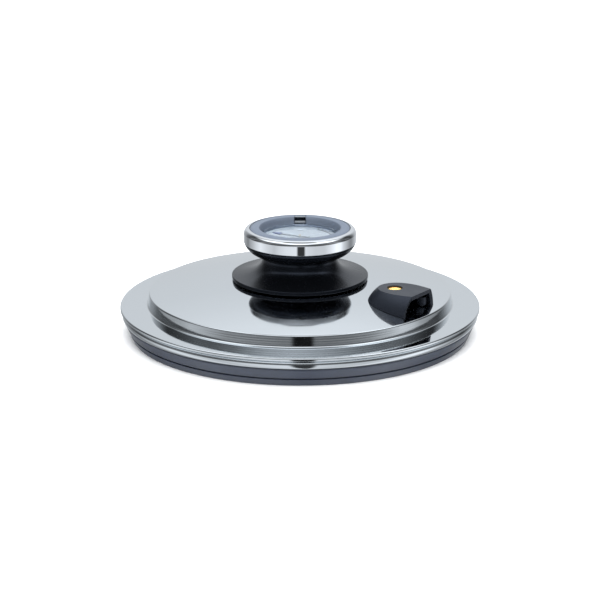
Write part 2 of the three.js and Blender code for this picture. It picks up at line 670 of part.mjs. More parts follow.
function spindleBush() {
  const bodyR = SPINDLE_R + FIT + BUSH_WALL;
  const lowZ = DIAL_LOW_Z - BUSH_HEIGHT;
  return revolve([
    point(SPINDLE_R + FIT, lowZ),
    point(bodyR, lowZ),
    point(bodyR, DIAL_LOW_Z - FIT - BUSH_FLANGE),
    point(bodyR + BUSH_FLANGE, DIAL_LOW_Z - FIT - BUSH_FLANGE),
    point(bodyR + BUSH_FLANGE, DIAL_LOW_Z - FIT),
    point(SPINDLE_R + FIT, DIAL_LOW_Z - FIT),
  ], SCREW_FACETS);
}

const POINTER_LOW_Z = DIAL_TOP_Z + FIT;
const POINTER_THICKNESS = 0.4;
const POINTER_HUB_R = 2.2;
const POINTER_TAIL = 6;
const TIP_LENGTH = 5.9;
const TIP_HALF = 1.9;

function pointerArm() {
  const end = POINTER_REACH - TIP_LENGTH - FIT;
  const shape = new THREE.Shape();
  shape.moveTo(-POINTER_TAIL, -POINTER_HUB_R / 2);
  shape.lineTo(end, -TIP_HALF / 4);
  shape.lineTo(end, TIP_HALF / 4);
  shape.lineTo(-POINTER_TAIL, POINTER_HUB_R / 2);
  const arm = prism(shape, POINTER_LOW_Z, POINTER_LOW_Z + POINTER_THICKNESS);
  const hub = rod(POINTER_HUB_R, POINTER_LOW_Z, POINTER_LOW_Z + POINTER_THICKNESS, SCREW_FACETS);
  const bore = rod(SPINDLE_R + 0.05, 0, KNOB_TOP_Z, SCREW_FACETS);
  return cut(join(arm, hub), bore);
}

function pointerTip() {
  const shape = new THREE.Shape();
  shape.moveTo(POINTER_REACH - TIP_LENGTH, -TIP_HALF);
  shape.lineTo(POINTER_REACH, 0);
  shape.lineTo(POINTER_REACH - TIP_LENGTH, TIP_HALF);
  return prism(shape, POINTER_LOW_Z, POINTER_LOW_Z + POINTER_THICKNESS);
}

// ---- Steam outlet, in a frame whose X runs out along its own radius --------------------------------

const MOUTH_U = PLATEAU_R - MOUTH_SETBACK;
const BUTTON_U = MOUTH_U - BUTTON_SETBACK;
const HOOD_TOP_Z = lidTop(BUTTON_U) + HOOD_RISE;
const HOOD_CEILING_Z = HOOD_TOP_Z - HOOD_WALL;
const HOOD_SCREW_U = MOUTH_U - HOOD_SCREW_SETBACK;
const HOOD_SCREW_LID_R = Math.hypot(HOOD_SCREW_U, HOOD_SCREW_SPREAD);
const HOOD_BOSS_TOP_Z = HOOD_TOP_Z - HOOD_BOSS_DROP;
const HOOD_BOSS_R = HOOD_SCREW_R + FIT + 1.2;
const SPRING_POCKET_R = BUTTON_R - 0.1;
const VALVE_R = SPRING_POCKET_R + VALVE_WALL; // tube through the lid
const VALVE_BORE_R = STEM_R + STEM_ROOM;
const VALVE_FLANGE_R = VALVE_R + VALVE_FLANGE_WIDTH;
const VALVE_NUT_R = VALVE_R + VALVE_NUT_WIDTH;
const SEAT_WASHER_TOP_Z = lidTop(BUTTON_U - VALVE_FLANGE_R) + FIT + GASKET;
const VALVE_FLANGE_Z = SEAT_WASHER_TOP_Z + FIT;
const VALVE_TOP_Z = VALVE_FLANGE_Z + VALVE_FLANGE;
const BUTTON_LOW_Z = VALVE_TOP_Z + BUTTON_TRAVEL + FIT;
const BUTTON_TOP_Z = HOOD_TOP_Z - BUTTON_RECESS;
const NUT_WASHER_LOW_Z = lidUnder(BUTTON_U + VALVE_NUT_R) - FIT - GASKET;
const VALVE_NUT_TOP_Z = NUT_WASHER_LOW_Z - FIT;
const VALVE_NUT_LOW_Z = VALVE_NUT_TOP_Z - VALVE_NUT_HEIGHT;
const VALVE_LOW_Z = VALVE_NUT_LOW_Z - 1.5;
const SPRING_FLOOR_Z = VALVE_TOP_Z - SPRING_POCKET;
const DISC_TOP_Z = VALVE_LOW_Z - FIT;
const DISC_THICKNESS = 1.5;
const DISC_WASHER_TOP_Z = DISC_TOP_Z - DISC_THICKNESS - FIT;
const DISC_WASHER = 0.6;
const STEM_HEAD_TOP_Z = DISC_WASHER_TOP_Z - DISC_WASHER - FIT;
const STEM_HEAD = 0.8;
const STEM_LOW_Z = STEM_HEAD_TOP_Z - STEM_HEAD;
const STEM_SOCKET = 1.6;
const GUARD_R = VALVE_NUT_R + FIT;
const GUARD_SHEET = 0.8;
const GUARD_GRIP = 2.4; // how far the guard reaches up the nut
const GUARD_HOLES = 6;
const GUARD_HOLE_R = 1.5;
const GUARD_HOLE_CIRCLE = 6.0;
const GUARD_FLOOR_Z = STEM_LOW_Z - BUTTON_TRAVEL - FIT - GUARD_SHEET;

const hoodScrewPlaces = [-1, 1].map((side) => [HOOD_SCREW_U, side * HOOD_SCREW_SPREAD]);

// Half outlines of the hood, tip to mouth, as shares of its length and of its half width.
const BASE_OUTLINE = [[0, 0], [0.02, 0.26], [0.11, 0.6], [0.27, 0.86], [0.5, 0.98], [0.76, 1], [1, 0.92]];
const TOP_OUTLINE = [[0, 0], [0.025, 0.3], [0.11, 0.63], [0.27, 0.88], [0.5, 1], [0.75, 0.96], [1, 0.84]];
const HOOD_LEVELS = [0, 0.3, 0.52, 0.7, 0.84, 0.94, 1]; // shares of the hood's height
const HOOD_ROOT = 3; // how far the loft starts under the lid's surface at the mouth
const HOOD_PAST = 6; // how far the hollow runs out past the mouth

function halfOutline(shares, mouth, length, half) {
  const tip = mouth - length;
  const corners = shares.map(([along, across]) => new THREE.Vector2(tip + along * length, across * half));
  return new THREE.SplineCurve(corners).getPoints(12);
}

// The hood's outside, or its hollow when an inset and a run past the mouth are given.
function hoodSolid(inset, past, topZ) {
  const base = halfOutline(BASE_OUTLINE, MOUTH_U - HOOD_MOUTH_LEAN, HOOD_LENGTH, HOOD_BASE_HALF);
  const top = halfOutline(TOP_OUTLINE, MOUTH_U, HOOD_TOP_LENGTH, HOOD_TOP_HALF);
  const lowZ = lidTop(MOUTH_U) - HOOD_ROOT;
  const levels = HOOD_LEVELS.map((height) => {
    const lean = height ** HOOD_BULGE;
    const half = base.map((corner, i) => {
      const edge = corner.clone().lerp(top[i], lean);
      const along = i / (base.length - 1);
      edge.x += inset * (1 - along) + past * along;
      edge.y *= 1 - inset / (HOOD_BASE_HALF + (HOOD_TOP_HALF - HOOD_BASE_HALF) * lean);
      return new THREE.Vector3(edge.x, edge.y, lowZ + (topZ - lowZ) * height);
    });
    const mirrored = half.slice(1).map((corner) => new THREE.Vector3(corner.x, -corner.y, corner.z));
    return [...half, ...mirrored.reverse()];
  });
  levels.forEach((level) => level.push(level[0].clone().lerp(level.at(-1), 0.5)));
  return loft(levels);
}

function outletHood() {
  const shell = cut(hoodSolid(0, 0, HOOD_TOP_Z), hoodSolid(HOOD_WALL, HOOD_PAST, HOOD_CEILING_Z));
  const holeR = BUTTON_R + FIT;
  const sleeveTopZ = HOOD_CEILING_Z + FIT;
  const sleeve = moved(rod(holeR + SLEEVE_WALL, BUTTON_LOW_Z, sleeveTopZ, SMALL_FACETS), BUTTON_U, 0, 0);
  const bosses = hoodScrewPlaces.map(([u, v]) => (
    moved(rod(HOOD_BOSS_R, SHELF_IN_Z, HOOD_BOSS_TOP_Z, SCREW_FACETS), u, v, 0)
  ));
  const buttonHole = moved(rod(holeR, SHELF_IN_Z, HOOD_TOP_Z + FIT, SMALL_FACETS), BUTTON_U, 0, 0);
  const screwHoles = hoodScrewPlaces.map(([u, v]) => (
    moved(rod(HOOD_SCREW_R + FIT, 0, HOOD_BOSS_TOP_Z - SCREW_COVER, SCREW_FACETS), u, v, 0)
  ));
  return cut(join(shell, sleeve, ...bosses), buttonHole, ...screwHoles, underDome(FIT));
}

function valveBody() {
  return revolve([
    point(VALVE_BORE_R, VALVE_LOW_Z),
    point(VALVE_R, VALVE_LOW_Z),
    point(VALVE_R, VALVE_FLANGE_Z),
    point(VALVE_FLANGE_R, VALVE_FLANGE_Z),
    point(VALVE_FLANGE_R, VALVE_TOP_Z),
    point(SPRING_POCKET_R, VALVE_TOP_Z),
    point(SPRING_POCKET_R, SPRING_FLOOR_Z),
    point(VALVE_BORE_R, SPRING_FLOOR_Z),
  ], SMALL_FACETS);
}

// Rubber washers on both faces of the lid, wedge-shaped where the lid slopes.
function seatWasher() {
  const body = ring(VALVE_R + FIT, VALVE_FLANGE_R, SHELF_IN_Z, SEAT_WASHER_TOP_Z, SMALL_FACETS);
  return cut(moved(body, BUTTON_U, 0, 0), underDome(FIT));
}

function nutWasher() {
  const body = ring(VALVE_R + FIT, VALVE_NUT_R - 0.5, NUT_WASHER_LOW_Z, HOOD_TOP_Z, SMALL_FACETS);
  return cut(moved(body, BUTTON_U, 0, 0), overDome(-FIT));
}

function releaseButton() {
  const socketR = STEM_R + FIT;
  const socketZ = BUTTON_LOW_Z + STEM_SOCKET;
  return revolve([
    point(0, socketZ),
    point(socketR, socketZ),
    point(socketR, BUTTON_LOW_Z),
    point(BUTTON_R, BUTTON_LOW_Z),
    point(BUTTON_R, BUTTON_TOP_Z - BUTTON_CROWN - 0.3),
    point(BUTTON_R - 0.25, BUTTON_TOP_Z - BUTTON_CROWN),
    point(BUTTON_R * 0.75, BUTTON_TOP_Z - BUTTON_CROWN * 0.42),
    point(BUTTON_R * 0.4, BUTTON_TOP_Z - BUTTON_CROWN * 0.1),
    point(0, BUTTON_TOP_Z),
  ], SMALL_FACETS);
}

function valveStem() {
  return revolve([
    point(0, STEM_LOW_Z),
    point(STEM_R + 1.1, STEM_LOW_Z),
    point(STEM_R + 1.1, STEM_HEAD_TOP_Z),
    point(STEM_R, STEM_HEAD_TOP_Z),
    point(STEM_R, BUTTON_LOW_Z + STEM_SOCKET - FIT),
    point(0, BUTTON_LOW_Z + STEM_SOCKET - FIT),
  ], SCREW_FACETS);
}

class Helix extends THREE.Curve {
  constructor(radius, low, high, turns) {
    super();
    Object.assign(this, { radius, low, high, turns });
  }

  getPoint(t, target = new THREE.Vector3()) {
    const angle = 2 * Math.PI * this.turns * t;
    const z = this.low + (this.high - this.low) * t;
    return target.set(this.radius * Math.cos(angle), this.radius * Math.sin(angle), z);
  }
}

const SPRING_LOW_Z = SPRING_FLOOR_Z + FIT;

function buttonSpring() {
  const wireR = SPRING_WIRE / 2;
  const radius = SPRING_POCKET_R - FIT - wireR;
  const helix = new Helix(radius, SPRING_LOW_Z + wireR, BUTTON_LOW_Z - FIT - wireR, SPRING_TURNS);
  return tube(helix, wireR, 9 * SPRING_TURNS, 6);
}

function splashGuard() {
  const outerR = GUARD_R + GUARD_SHEET;
  const cup = revolve([
    point(0, GUARD_FLOOR_Z),
    point(outerR - 0.6, GUARD_FLOOR_Z),
    point(outerR, GUARD_FLOOR_Z + 0.6),
    point(outerR, VALVE_NUT_LOW_Z + GUARD_GRIP),
    point(GUARD_R, VALVE_NUT_LOW_Z + GUARD_GRIP),
    point(GUARD_R, GUARD_FLOOR_Z + GUARD_SHEET),
    point(0, GUARD_FLOOR_Z + GUARD_SHEET),
  ], SMALL_FACETS);
  const holes = Array.from({ length: GUARD_HOLES }, (_, i) => {
    const angle = (2 * Math.PI * i) / GUARD_HOLES;
    const hole = rod(GUARD_HOLE_R, GUARD_FLOOR_Z - FIT, GUARD_FLOOR_Z + GUARD_SHEET + FIT, 8);
    return moved(hole, GUARD_HOLE_CIRCLE * Math.cos(angle), GUARD_HOLE_CIRCLE * Math.sin(angle), 0);
  });
  return cut(cup, ...holes);
}

const SCREW_SEAL_R = 3.6;
const SCREW_SEAL = 0.8;
const SCREW_SEAL_TOP_Z = lidUnder(HOOD_SCREW_LID_R + SCREW_SEAL_R) - FIT;
const SCREW_HEAD_TOP_Z = SCREW_SEAL_TOP_Z - SCREW_SEAL - FIT;
const SCREW_HEAD = 1.6;

function hoodScrew([u, v]) {
  const tip = HOOD_BOSS_TOP_Z - SCREW_COVER - FIT;
  const screw = revolve([
    point(0, SCREW_HEAD_TOP_Z - SCREW_HEAD),
    point(HOOD_SCREW_HEAD_R - SCREW_HEAD / 2, SCREW_HEAD_TOP_Z - SCREW_HEAD),
    point(HOOD_SCREW_HEAD_R, SCREW_HEAD_TOP_Z - SCREW_HEAD / 2),
    point(HOOD_SCREW_HEAD_R, SCREW_HEAD_TOP_Z),
    point(HOOD_SCREW_R, SCREW_HEAD_TOP_Z),
    point(HOOD_SCREW_R, tip),
    point(0, tip),
  ], SCREW_FACETS);
  return moved(screw, u, v, 0);
}

function screwSeal([u, v]) {
  const low = SCREW_SEAL_TOP_Z - SCREW_SEAL;
  return moved(ring(HOOD_SCREW_R + FIT, SCREW_SEAL_R, low, SCREW_SEAL_TOP_Z, SCREW_FACETS), u, v, 0);
}

// ---- Assembly -------------------------------------------------------------------------------------

function outletGroup() {
  const group = new THREE.Group();
  group.rotation.z = radians(OUTLET_AZIMUTH);
  group.add(
    part('outlet_hood', outletHood(), GREY_PLASTIC),
    part('seat_washer', seatWasher(), WHITE_SILICONE),
    part('nut_washer', nutWasher(), WHITE_SILICONE),
  );
  const valve = new THREE.Group();
  valve.position.x = BUTTON_U;
  const discInnerR = STEM_R + FIT;
  const nut = hexNut(VALVE_NUT_R, VALVE_R + FIT, VALVE_NUT_LOW_Z, VALVE_NUT_TOP_Z);
  const disc = ring(discInnerR, VALVE_R - 0.4, DISC_TOP_Z - DISC_THICKNESS, DISC_TOP_Z, SMALL_FACETS);
  const washer = ring(discInnerR, 3.6, DISC_WASHER_TOP_Z - DISC_WASHER, DISC_WASHER_TOP_Z, SCREW_FACETS);
  valve.add(
    part('valve_body', valveBody(), PLAIN_STEEL),
    part('valve_nut', nut, PLAIN_STEEL),
    part('release_button', releaseButton(), AMBER_PLASTIC),
    part('valve_stem', valveStem(), PLAIN_STEEL),
    part('valve_disc', disc, WHITE_SILICONE),
    part('disc_washer', washer, PLAIN_STEEL),
    part('button_spring', buttonSpring(), PLAIN_STEEL),
    part('splash_guard', splashGuard(), PLAIN_STEEL),
  );
  hoodScrewPlaces.forEach((place, i) => {
    group.add(part(`hood_screw_${i + 1}`, hoodScrew(place), PLAIN_STEEL));
    group.add(part(`screw_seal_${i + 1}`, screwSeal(place), WHITE_SILICONE));
  });
  group.add(valve);
  return group;
}

function knobGroup() {
  const group = new THREE.Group();
  const baseTopZ = BASE_WASHER_Z + BASE_WASHER;
  const baseWasher = ring(STUD_HOLE_R, BASE_WASHER_R, BASE_WASHER_Z, baseTopZ, SMALL_FACETS);
  const studLow = STUD_WASHER_Z - BASE_WASHER;
  const studWasher = ring(STUD_HOLE_R, STUD_WASHER_R, studLow, STUD_WASHER_Z, SMALL_FACETS);
  const flatWasher = ring(STUD_HOLE_R, NUT_WASHER_R, NUT_WASHER_Z, NUT_WASHER_Z + NUT_WASHER, SMALL_FACETS);
  const dial = ring(SPINDLE_R + FIT, LENS_R, DIAL_LOW_Z, DIAL_TOP_Z, KNOB_FACETS);
  const spindleLow = CUP_FLOOR_Z + CUP_SHEET + FIT;
  const spindle = rod(SPINDLE_R - 0.25, spindleLow, POINTER_LOW_Z + POINTER_THICKNESS + 0.3, 12);
  group.add(
    part('knob_stud', knobStud(), PLAIN_STEEL),
    part('stud_washer', studWasher, WHITE_SILICONE),
    part('base_washer', baseWasher, WHITE_SILICONE),
    part('knob_flange', knobFlange(), BLACK_PHENOLIC),
    part('flat_washer', flatWasher, PLAIN_STEEL),
    part('stud_nut', hexNut(NUT_R, STUD_HOLE_R, NUT_Z, NUT_TOP_Z), PLAIN_STEEL),
    part('knob_bowl', knobBowl(), BLACK_PHENOLIC),
    part('chrome_ring', chromeRing(), CHROME),
    part('bezel_ring', bezelRing(), BEZEL_PLASTIC),
    part('dock_catch', dockCatch(), DIAL_PAINT),
    part('sensor_cup', sensorCup(), ALUMINIUM),
    part('heat_probe', heatProbe(), BRASS),
    part('bimetal_coil', bimetalCoil(), BRASS),
    part('spindle_bush', spindleBush(), BRASS),
    part('dial_plate', dial, DIAL_PAINT),
    part('dial_lens', rod(LENS_R, LENS_LOW_Z, LENS_TOP_Z, KNOB_FACETS), LENS_PLASTIC),
    part('pointer_spindle', spindle, BRASS),
  );
  knobScrewPlaces.forEach((place, i) => {
    group.add(part(`knob_screw_${i + 1}`, knobScrew(place), PLAIN_STEEL));
  });
  const pointer = new THREE.Group();
  pointer.rotation.z = radians(POINTER_COLD_AZIMUTH);
  pointer.add(
    part('pointer_arm', pointerArm(), DIAL_PAINT),
    part('pointer_tip', pointerTip(), POINTER_PAINT),
  );
  group.add(pointer);
  return group;
}

function lidGroup() {
  const holes = [
    moved(rod(VALVE_R + FIT, 0, HOOD_TOP_Z, SMALL_FACETS), BUTTON_U, 0, 0),
    ...hoodScrewPlaces.map(([u, v]) => moved(rod(HOOD_SCREW_R + FIT, 0, HOOD_TOP_Z, SCREW_FACETS), u, v, 0)),
  ];
  holes.forEach((hole) => hole.rotateZ(radians(OUTLET_AZIMUTH)));
  const group = new THREE.Group();
  group.add(
    part('lid_shell', lidShell(holes), POLISHED_STEEL),
    part('seal_carrier', sealCarrier(), PLAIN_STEEL),
    part('seal_ring', sealRing(), SEAL_RUBBER),
  );
  return group;
}

const lid = new THREE.Group();
lid.add(lidGroup(), knobGroup(), outletGroup());

export default lid;
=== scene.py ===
"""The looks of a steam-cooking pot lid: mirror-polished stainless steel on a rubber plug seal, with a
black thermometer knob and a grey steam outlet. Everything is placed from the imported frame."""
import math

import bmesh
import bpy
from mathutils import Matrix, Vector


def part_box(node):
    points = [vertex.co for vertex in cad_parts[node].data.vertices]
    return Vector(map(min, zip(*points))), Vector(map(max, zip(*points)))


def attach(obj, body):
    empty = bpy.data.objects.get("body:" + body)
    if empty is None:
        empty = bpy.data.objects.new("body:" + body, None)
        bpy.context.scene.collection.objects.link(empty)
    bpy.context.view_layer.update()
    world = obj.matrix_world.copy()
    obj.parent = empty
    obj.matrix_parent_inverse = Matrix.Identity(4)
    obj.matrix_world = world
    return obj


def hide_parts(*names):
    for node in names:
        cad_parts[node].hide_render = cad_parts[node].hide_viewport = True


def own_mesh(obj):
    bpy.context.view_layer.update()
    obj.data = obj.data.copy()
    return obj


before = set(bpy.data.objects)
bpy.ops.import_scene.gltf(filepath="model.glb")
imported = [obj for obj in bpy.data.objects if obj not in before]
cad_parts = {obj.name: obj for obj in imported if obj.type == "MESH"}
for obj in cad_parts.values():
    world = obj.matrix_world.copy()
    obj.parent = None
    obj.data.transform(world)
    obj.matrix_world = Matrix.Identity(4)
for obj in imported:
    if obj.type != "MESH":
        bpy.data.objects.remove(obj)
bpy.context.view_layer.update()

MM = 0.001
FULL_TURN = 2 * math.pi


def low(node):
    """Lowest point of a CAD node, in mm."""
    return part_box(node)[0].z / MM


def top(node):
    """Highest point of a CAD node, in mm."""
    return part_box(node)[1].z / MM


def reach(node):
    """Outer radius of a CAD node that is round about the lid's axis, in mm."""
    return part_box(node)[1].x / MM


def middle(node):
    """Where the upright axis of a CAD node stands, in mm."""
    lowest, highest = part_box(node)
    return (lowest.x + highest.x) / 2 / MM, (lowest.y + highest.y) / 2 / MM


# ---- Sizes in mm ----------------------------------------------------------------------------------

FIT = 0.3
SHEET = 1.0
RIM_R = reach("lid_shell")
RIM_Z = 17.0
RIM_EDGE = 0.9
SHELF_WIDTH = 17.3
SHELF_RISE = 1.95
SHELF_FALL = 0.75
PLATEAU_RISE = 8.9
DOME_SAG = 8.8
WALL_DRAFT = 0.8
EDGE_ROUND = 1.2
BAND_INSET = 2.3
BAND_BULGE = 1.26
BAND_WALL = 1.2
BAND_LOW_Z = low("lid_shell")
STUD_R = 4.0
SPRING_WIRE = 0.7
SPRING_TURNS = 4
LATHE_RING = 0.9  # coarser than the real rings, so that they show
LATHE_DEPTH = 0.014

PLATEAU_R = RIM_R - SHELF_WIDTH
WALL_FOOT_R = PLATEAU_R + WALL_DRAFT
CROWN_Z = RIM_Z + PLATEAU_RISE + DOME_SAG
DOME_RADIUS = (PLATEAU_R ** 2 + DOME_SAG ** 2) / (2 * DOME_SAG)
SHELF_IN_Z = RIM_Z + SHELF_RISE
SHELF_OUT_Z = SHELF_IN_Z - SHELF_FALL
BAND_R = RIM_R - BAND_INSET
BAND_INNER_R = BAND_R - BAND_WALL

FLANGE_R = reach("knob_flange")
FLANGE_LOW_Z = low("knob_flange")
NECK_Z = top("knob_flange")
FLANGE_EDGE = 2.2
FLANGE_TOP_Z = FLANGE_LOW_Z + FLANGE_EDGE
NECK_R = 22.4
KNOB_WALL = 2.4
BOWL_R = reach("knob_bowl")
BOWL_LEDGE = 1.6
BOWL_Z = NECK_Z + FIT
BOWL_RIM_Z = top("knob_bowl")
BOWL_SHOULDER_Z = low("chrome_ring") - FIT
CHROME_R = reach("chrome_ring")
CHROME_LOW_Z = low("chrome_ring")
CHROME_TOP_Z = top("chrome_ring")
CHROME_WALL = 1.3
CHROME_CREASE_Z = CHROME_LOW_Z + 5.7
BEZEL_R = reach("bezel_ring")
BEZEL_LOW_Z = low("bezel_ring")
KNOB_TOP_Z = top("bezel_ring")
WELL_R = BEZEL_R - 5.85
DIAL_R = reach("dial_plate")
DIAL_Z = top("dial_plate")
LENS_LOW_Z = low("dial_lens")
LENS_TOP_Z = top("dial_lens")
WELL_FOOT_R = DIAL_R + FIT

OUTLET_AZIMUTH = math.radians(-35.5)
MOUTH_U = PLATEAU_R - 4.4
HOOD_MOUTH_LEAN = 1.8
HOOD_LENGTH = 33.6
HOOD_TOP_LENGTH = 28.0
HOOD_BULGE = 2.4
HOOD_BASE_HALF = 17.4
HOOD_TOP_HALF = 12.0
HOOD_WALL = 2.2
HOOD_TOP_Z = top("outlet_hood")
BUTTON_R = 4.2
BUTTON_LOW_Z = low("release_button")
BUTTON_TOP_Z = top("release_button")


def dome_z(r):
    return CROWN_Z - DOME_RADIUS + math.sqrt(DOME_RADIUS ** 2 - r ** 2)


# ---- Mesh helpers ---------------------------------------------------------------------------------


def softened(outline, segments=5):
    """The outline with each (r, z, radius) corner rounded; a radius of 0 leaves the corner sharp."""
    result = []
    count = len(outline)
    for i, (r, z, radius) in enumerate(outline):
        corner = Vector((r, z))
        if radius == 0:
            result.append((r, z))
            continue
        before = (Vector(outline[i - 1][:2]) - corner).normalized()
        after = (Vector(outline[(i + 1) % count][:2]) - corner).normalized()
        half_angle = before.angle(after) / 2
        centre = corner + (before + after).normalized() * radius / math.sin(half_angle)
        start = corner + before * radius / math.tan(half_angle) - centre
        turn = start.angle_signed(corner + after * radius / math.tan(half_angle) - centre)
        for step in range(segments + 1):
            spoke = start.copy()
            spoke.rotate(Matrix.Rotation(-turn * step / segments, 2))
            result.append(tuple(centre + spoke))
    return result


def bezier(start, control_1, control_2, end, steps):
    """Points along a cubic curve without its two ends."""
    points = []
    for i in range(1, steps):
        t = i / steps
        weights = ((1 - t) ** 3, 3 * t * (1 - t) ** 2, 3 * t * t * (1 - t), t ** 3)
        corners = (start, control_1, control_2, end)
        points.append(tuple(sum(w * c[k] for w, c in zip(weights, corners)) for k in range(2)) + (0,))
    return points


def finished(name, mesh, smooth_angle=35):
    """Turns a bmesh in metres into an object with clean normals."""
    bmesh.ops.remove_doubles(mesh, verts=mesh.verts, dist=1e-7)
    bmesh.ops.recalc_face_normals(mesh, faces=mesh.faces)
    data = bpy.data.meshes.new(name)
    mesh.to_mesh(data)
    mesh.free()
    data.shade_smooth()
    data.set_sharp_from_angle(angle=math.radians(smooth_angle))
    piece = bpy.data.objects.new(name, data)
    bpy.context.scene.collection.objects.link(piece)
    return piece


def spun_mesh(outline, steps, centre=(0, 0)):
    """A bmesh of an outline in mm turned once about an upright axis at centre."""
    mesh = bmesh.new()
    corners = [mesh.verts.new((r * MM, 0, z * MM)) for r, z in outline]
    closes_on_axis = outline[0][0] == 0 and outline[-1][0] == 0
    nexts = corners[1:] if closes_on_axis else corners[1:] + corners[:1]
    edges = [mesh.edges.new(pair) for pair in zip(corners, nexts)]
    bmesh.ops.spin(mesh, geom=corners + edges, cent=(0, 0, 0), axis=(0, 0, 1), dvec=(0, 0, 0),
                   angle=FULL_TURN, steps=steps, use_merge=True, use_duplicate=False)
    bmesh.ops.translate(mesh, verts=mesh.verts, vec=(centre[0] * MM, centre[1] * MM, 0))
    return mesh


def spun(name, outline, steps=128, centre=(0, 0), segments=5):
    return finished(name, spun_mesh(softened(outline, segments), steps, centre))


def block_mesh(low_corner, high_corner):
    mesh = bmesh.new()
    size = [(h - l) * MM for l, h in zip(low_corner, high_corner)]
    centre = [(h + l) / 2 * MM for l, h in zip(low_corner, high_corner)]
    bmesh.ops.create_cube(mesh, size=1, matrix=Matrix.Translation(centre) @ Matrix.Diagonal((*size, 1)))
    return mesh


def modify(piece, kind, **settings):
    modifier = piece.modifiers.new(kind.title(), kind)
    for name, value in settings.items():
        setattr(modifier, name, value)
    return modifier


def settle(piece):
    """Applies the modifiers, so that only plain mesh is left."""
    graph = bpy.context.evaluated_depsgraph_get()
    data = bpy.data.meshes.new_from_object(piece.evaluated_get(graph))
    piece.modifiers.clear()
    piece.data = data
    return piece


def cut(piece, cutter_mesh):
    """Cuts a bmesh out of a piece."""
    cutter = finished("cutter", cutter_mesh)
    modify(piece, "BOOLEAN", object=cutter, operation="DIFFERENCE", solver="EXACT")
    settle(piece)
    bpy.data.objects.remove(cutter)
    return piece


def to_outlet(mesh):
    """Turns a bmesh made along +X to the outlet's own radius."""
    bmesh.ops.rotate(mesh, verts=mesh.verts, cent=(0, 0, 0), matrix=Matrix.Rotation(OUTLET_AZIMUTH, 3, "Z"))
    return mesh


def even_normals(piece):
    """Lets the large faces lead the shading, so that bends stay tight in the reflections."""
    modify(piece, "WEIGHTED_NORMAL", keep_sharp=True, weight=80)
    return piece


def place(piece, body, slot, material, *nodes):
    """Gives a piece its body and material, and hides the CAD nodes that it stands for; the slot is not used.
    """
    piece.data.materials.clear()
    piece.data.materials.append(material)
    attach(piece, body)
    if nodes:
        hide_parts(*nodes)
    return piece


# ---- Materials ------------------------------------------------------------------------------------


def linear(colour):
    """A sRGB hex colour as a linear RGBA value."""
    parts = [int(colour[i:i + 2], 16) / 255 for i in (1, 3, 5)]
    return tuple(p / 12.92 if p <= 0.04045 else ((p + 0.055) / 1.055) ** 2.4 for p in parts) + (1.0,)


def add(tree, kind, inputs=None, **settings):
    """Adds a node with its settings; an input is a value or another node's output."""
    made = tree.nodes.new(kind)
    for name, value in settings.items():
        setattr(made, name, value)
    for socket, value in (inputs or {}).items():
        if isinstance(value, bpy.types.NodeSocket):
            tree.links.new(value, made.inputs[socket])
        else:
            made.inputs[socket].default_value = value
    return made


def new_material(name, **constants):
    """A material with one Principled shader, its node tree and that shader."""
    material = bpy.data.materials.new(name)
    material.use_nodes = True
    tree = material.node_tree
    shader = tree.nodes["Principled BSDF"]
    for socket, value in constants.items():
        shader.inputs[socket.replace("_", " ")].default_value = value
    return material, tree, shader


def object_place(tree):
    return add(tree, "ShaderNodeTexCoord").outputs["Object"]


def grain(tree, size_mm, detail=2.0):
    """Noise whose lumps are about size_mm across."""
    settings = {"Vector": object_place(tree), "Scale": 1 / (size_mm * MM), "Detail": detail}
    return add(tree, "ShaderNodeTexNoise", settings).outputs["Fac"]


def span(tree, value, from_low, from_high, to_low, to_high):
    return add(tree, "ShaderNodeMapRange", {
        "Value": value, "From Min": from_low, "From Max": from_high,
        "To Min": to_low, "To Max": to_high}).outputs["Result"]


def mirror_stainless():
    """18/10 stainless, pressed and buffed to a mirror: sharp reflections with a trace of buffing haze.
    The drawn wall keeps fine rings from the spinning lathe, a quarter as strong further out, which
    draw the light into streaks."""
    material, tree, shader = new_material(
        "buffed_stainless", Base_Color=linear("#dbe0e4"), Metallic=1.0, Roughness=0.06)
    haze = span(tree, grain(tree, 9.0, 4.0), 0.3, 0.7, 0.05, 0.09)
    tree.links.new(haze, shader.inputs["Roughness"])
    parts = add(tree, "ShaderNodeSeparateXYZ", {"Vector": object_place(tree)}).outputs
    flat = add(tree, "ShaderNodeCombineXYZ", {"X": parts["X"], "Y": parts["Y"]}).outputs["Vector"]
    radius = add(tree, "ShaderNodeVectorMath", {0: flat}, operation="LENGTH").outputs["Value"]
    profile = add(tree, "ShaderNodeCombineXYZ", {"X": radius, "Y": parts["Z"]}).outputs["Vector"]
    rings = add(tree, "ShaderNodeTexNoise", {
        "Vector": profile, "Scale": 1 / (LATHE_RING * MM), "Detail": 3.0, "Roughness": 0.6}).outputs["Fac"]
    start, full, past = (r * MM for r in (PLATEAU_R - 0.4, PLATEAU_R, WALL_FOOT_R + 2.5))
    inner = span(tree, radius, start, full, 0.0, 1.0)
    outer = span(tree, radius, full, past, 1.0, 0.25)
    strength = add(tree, "ShaderNodeMath", {0: inner, 1: outer}, operation="MULTIPLY").outputs[0]
    bump = add(tree, "ShaderNodeBump", {"Height": rings, "Strength": strength, "Distance": LATHE_DEPTH * MM})
    tree.links.new(bump.outputs["Normal"], shader.inputs["Normal"])
    return material


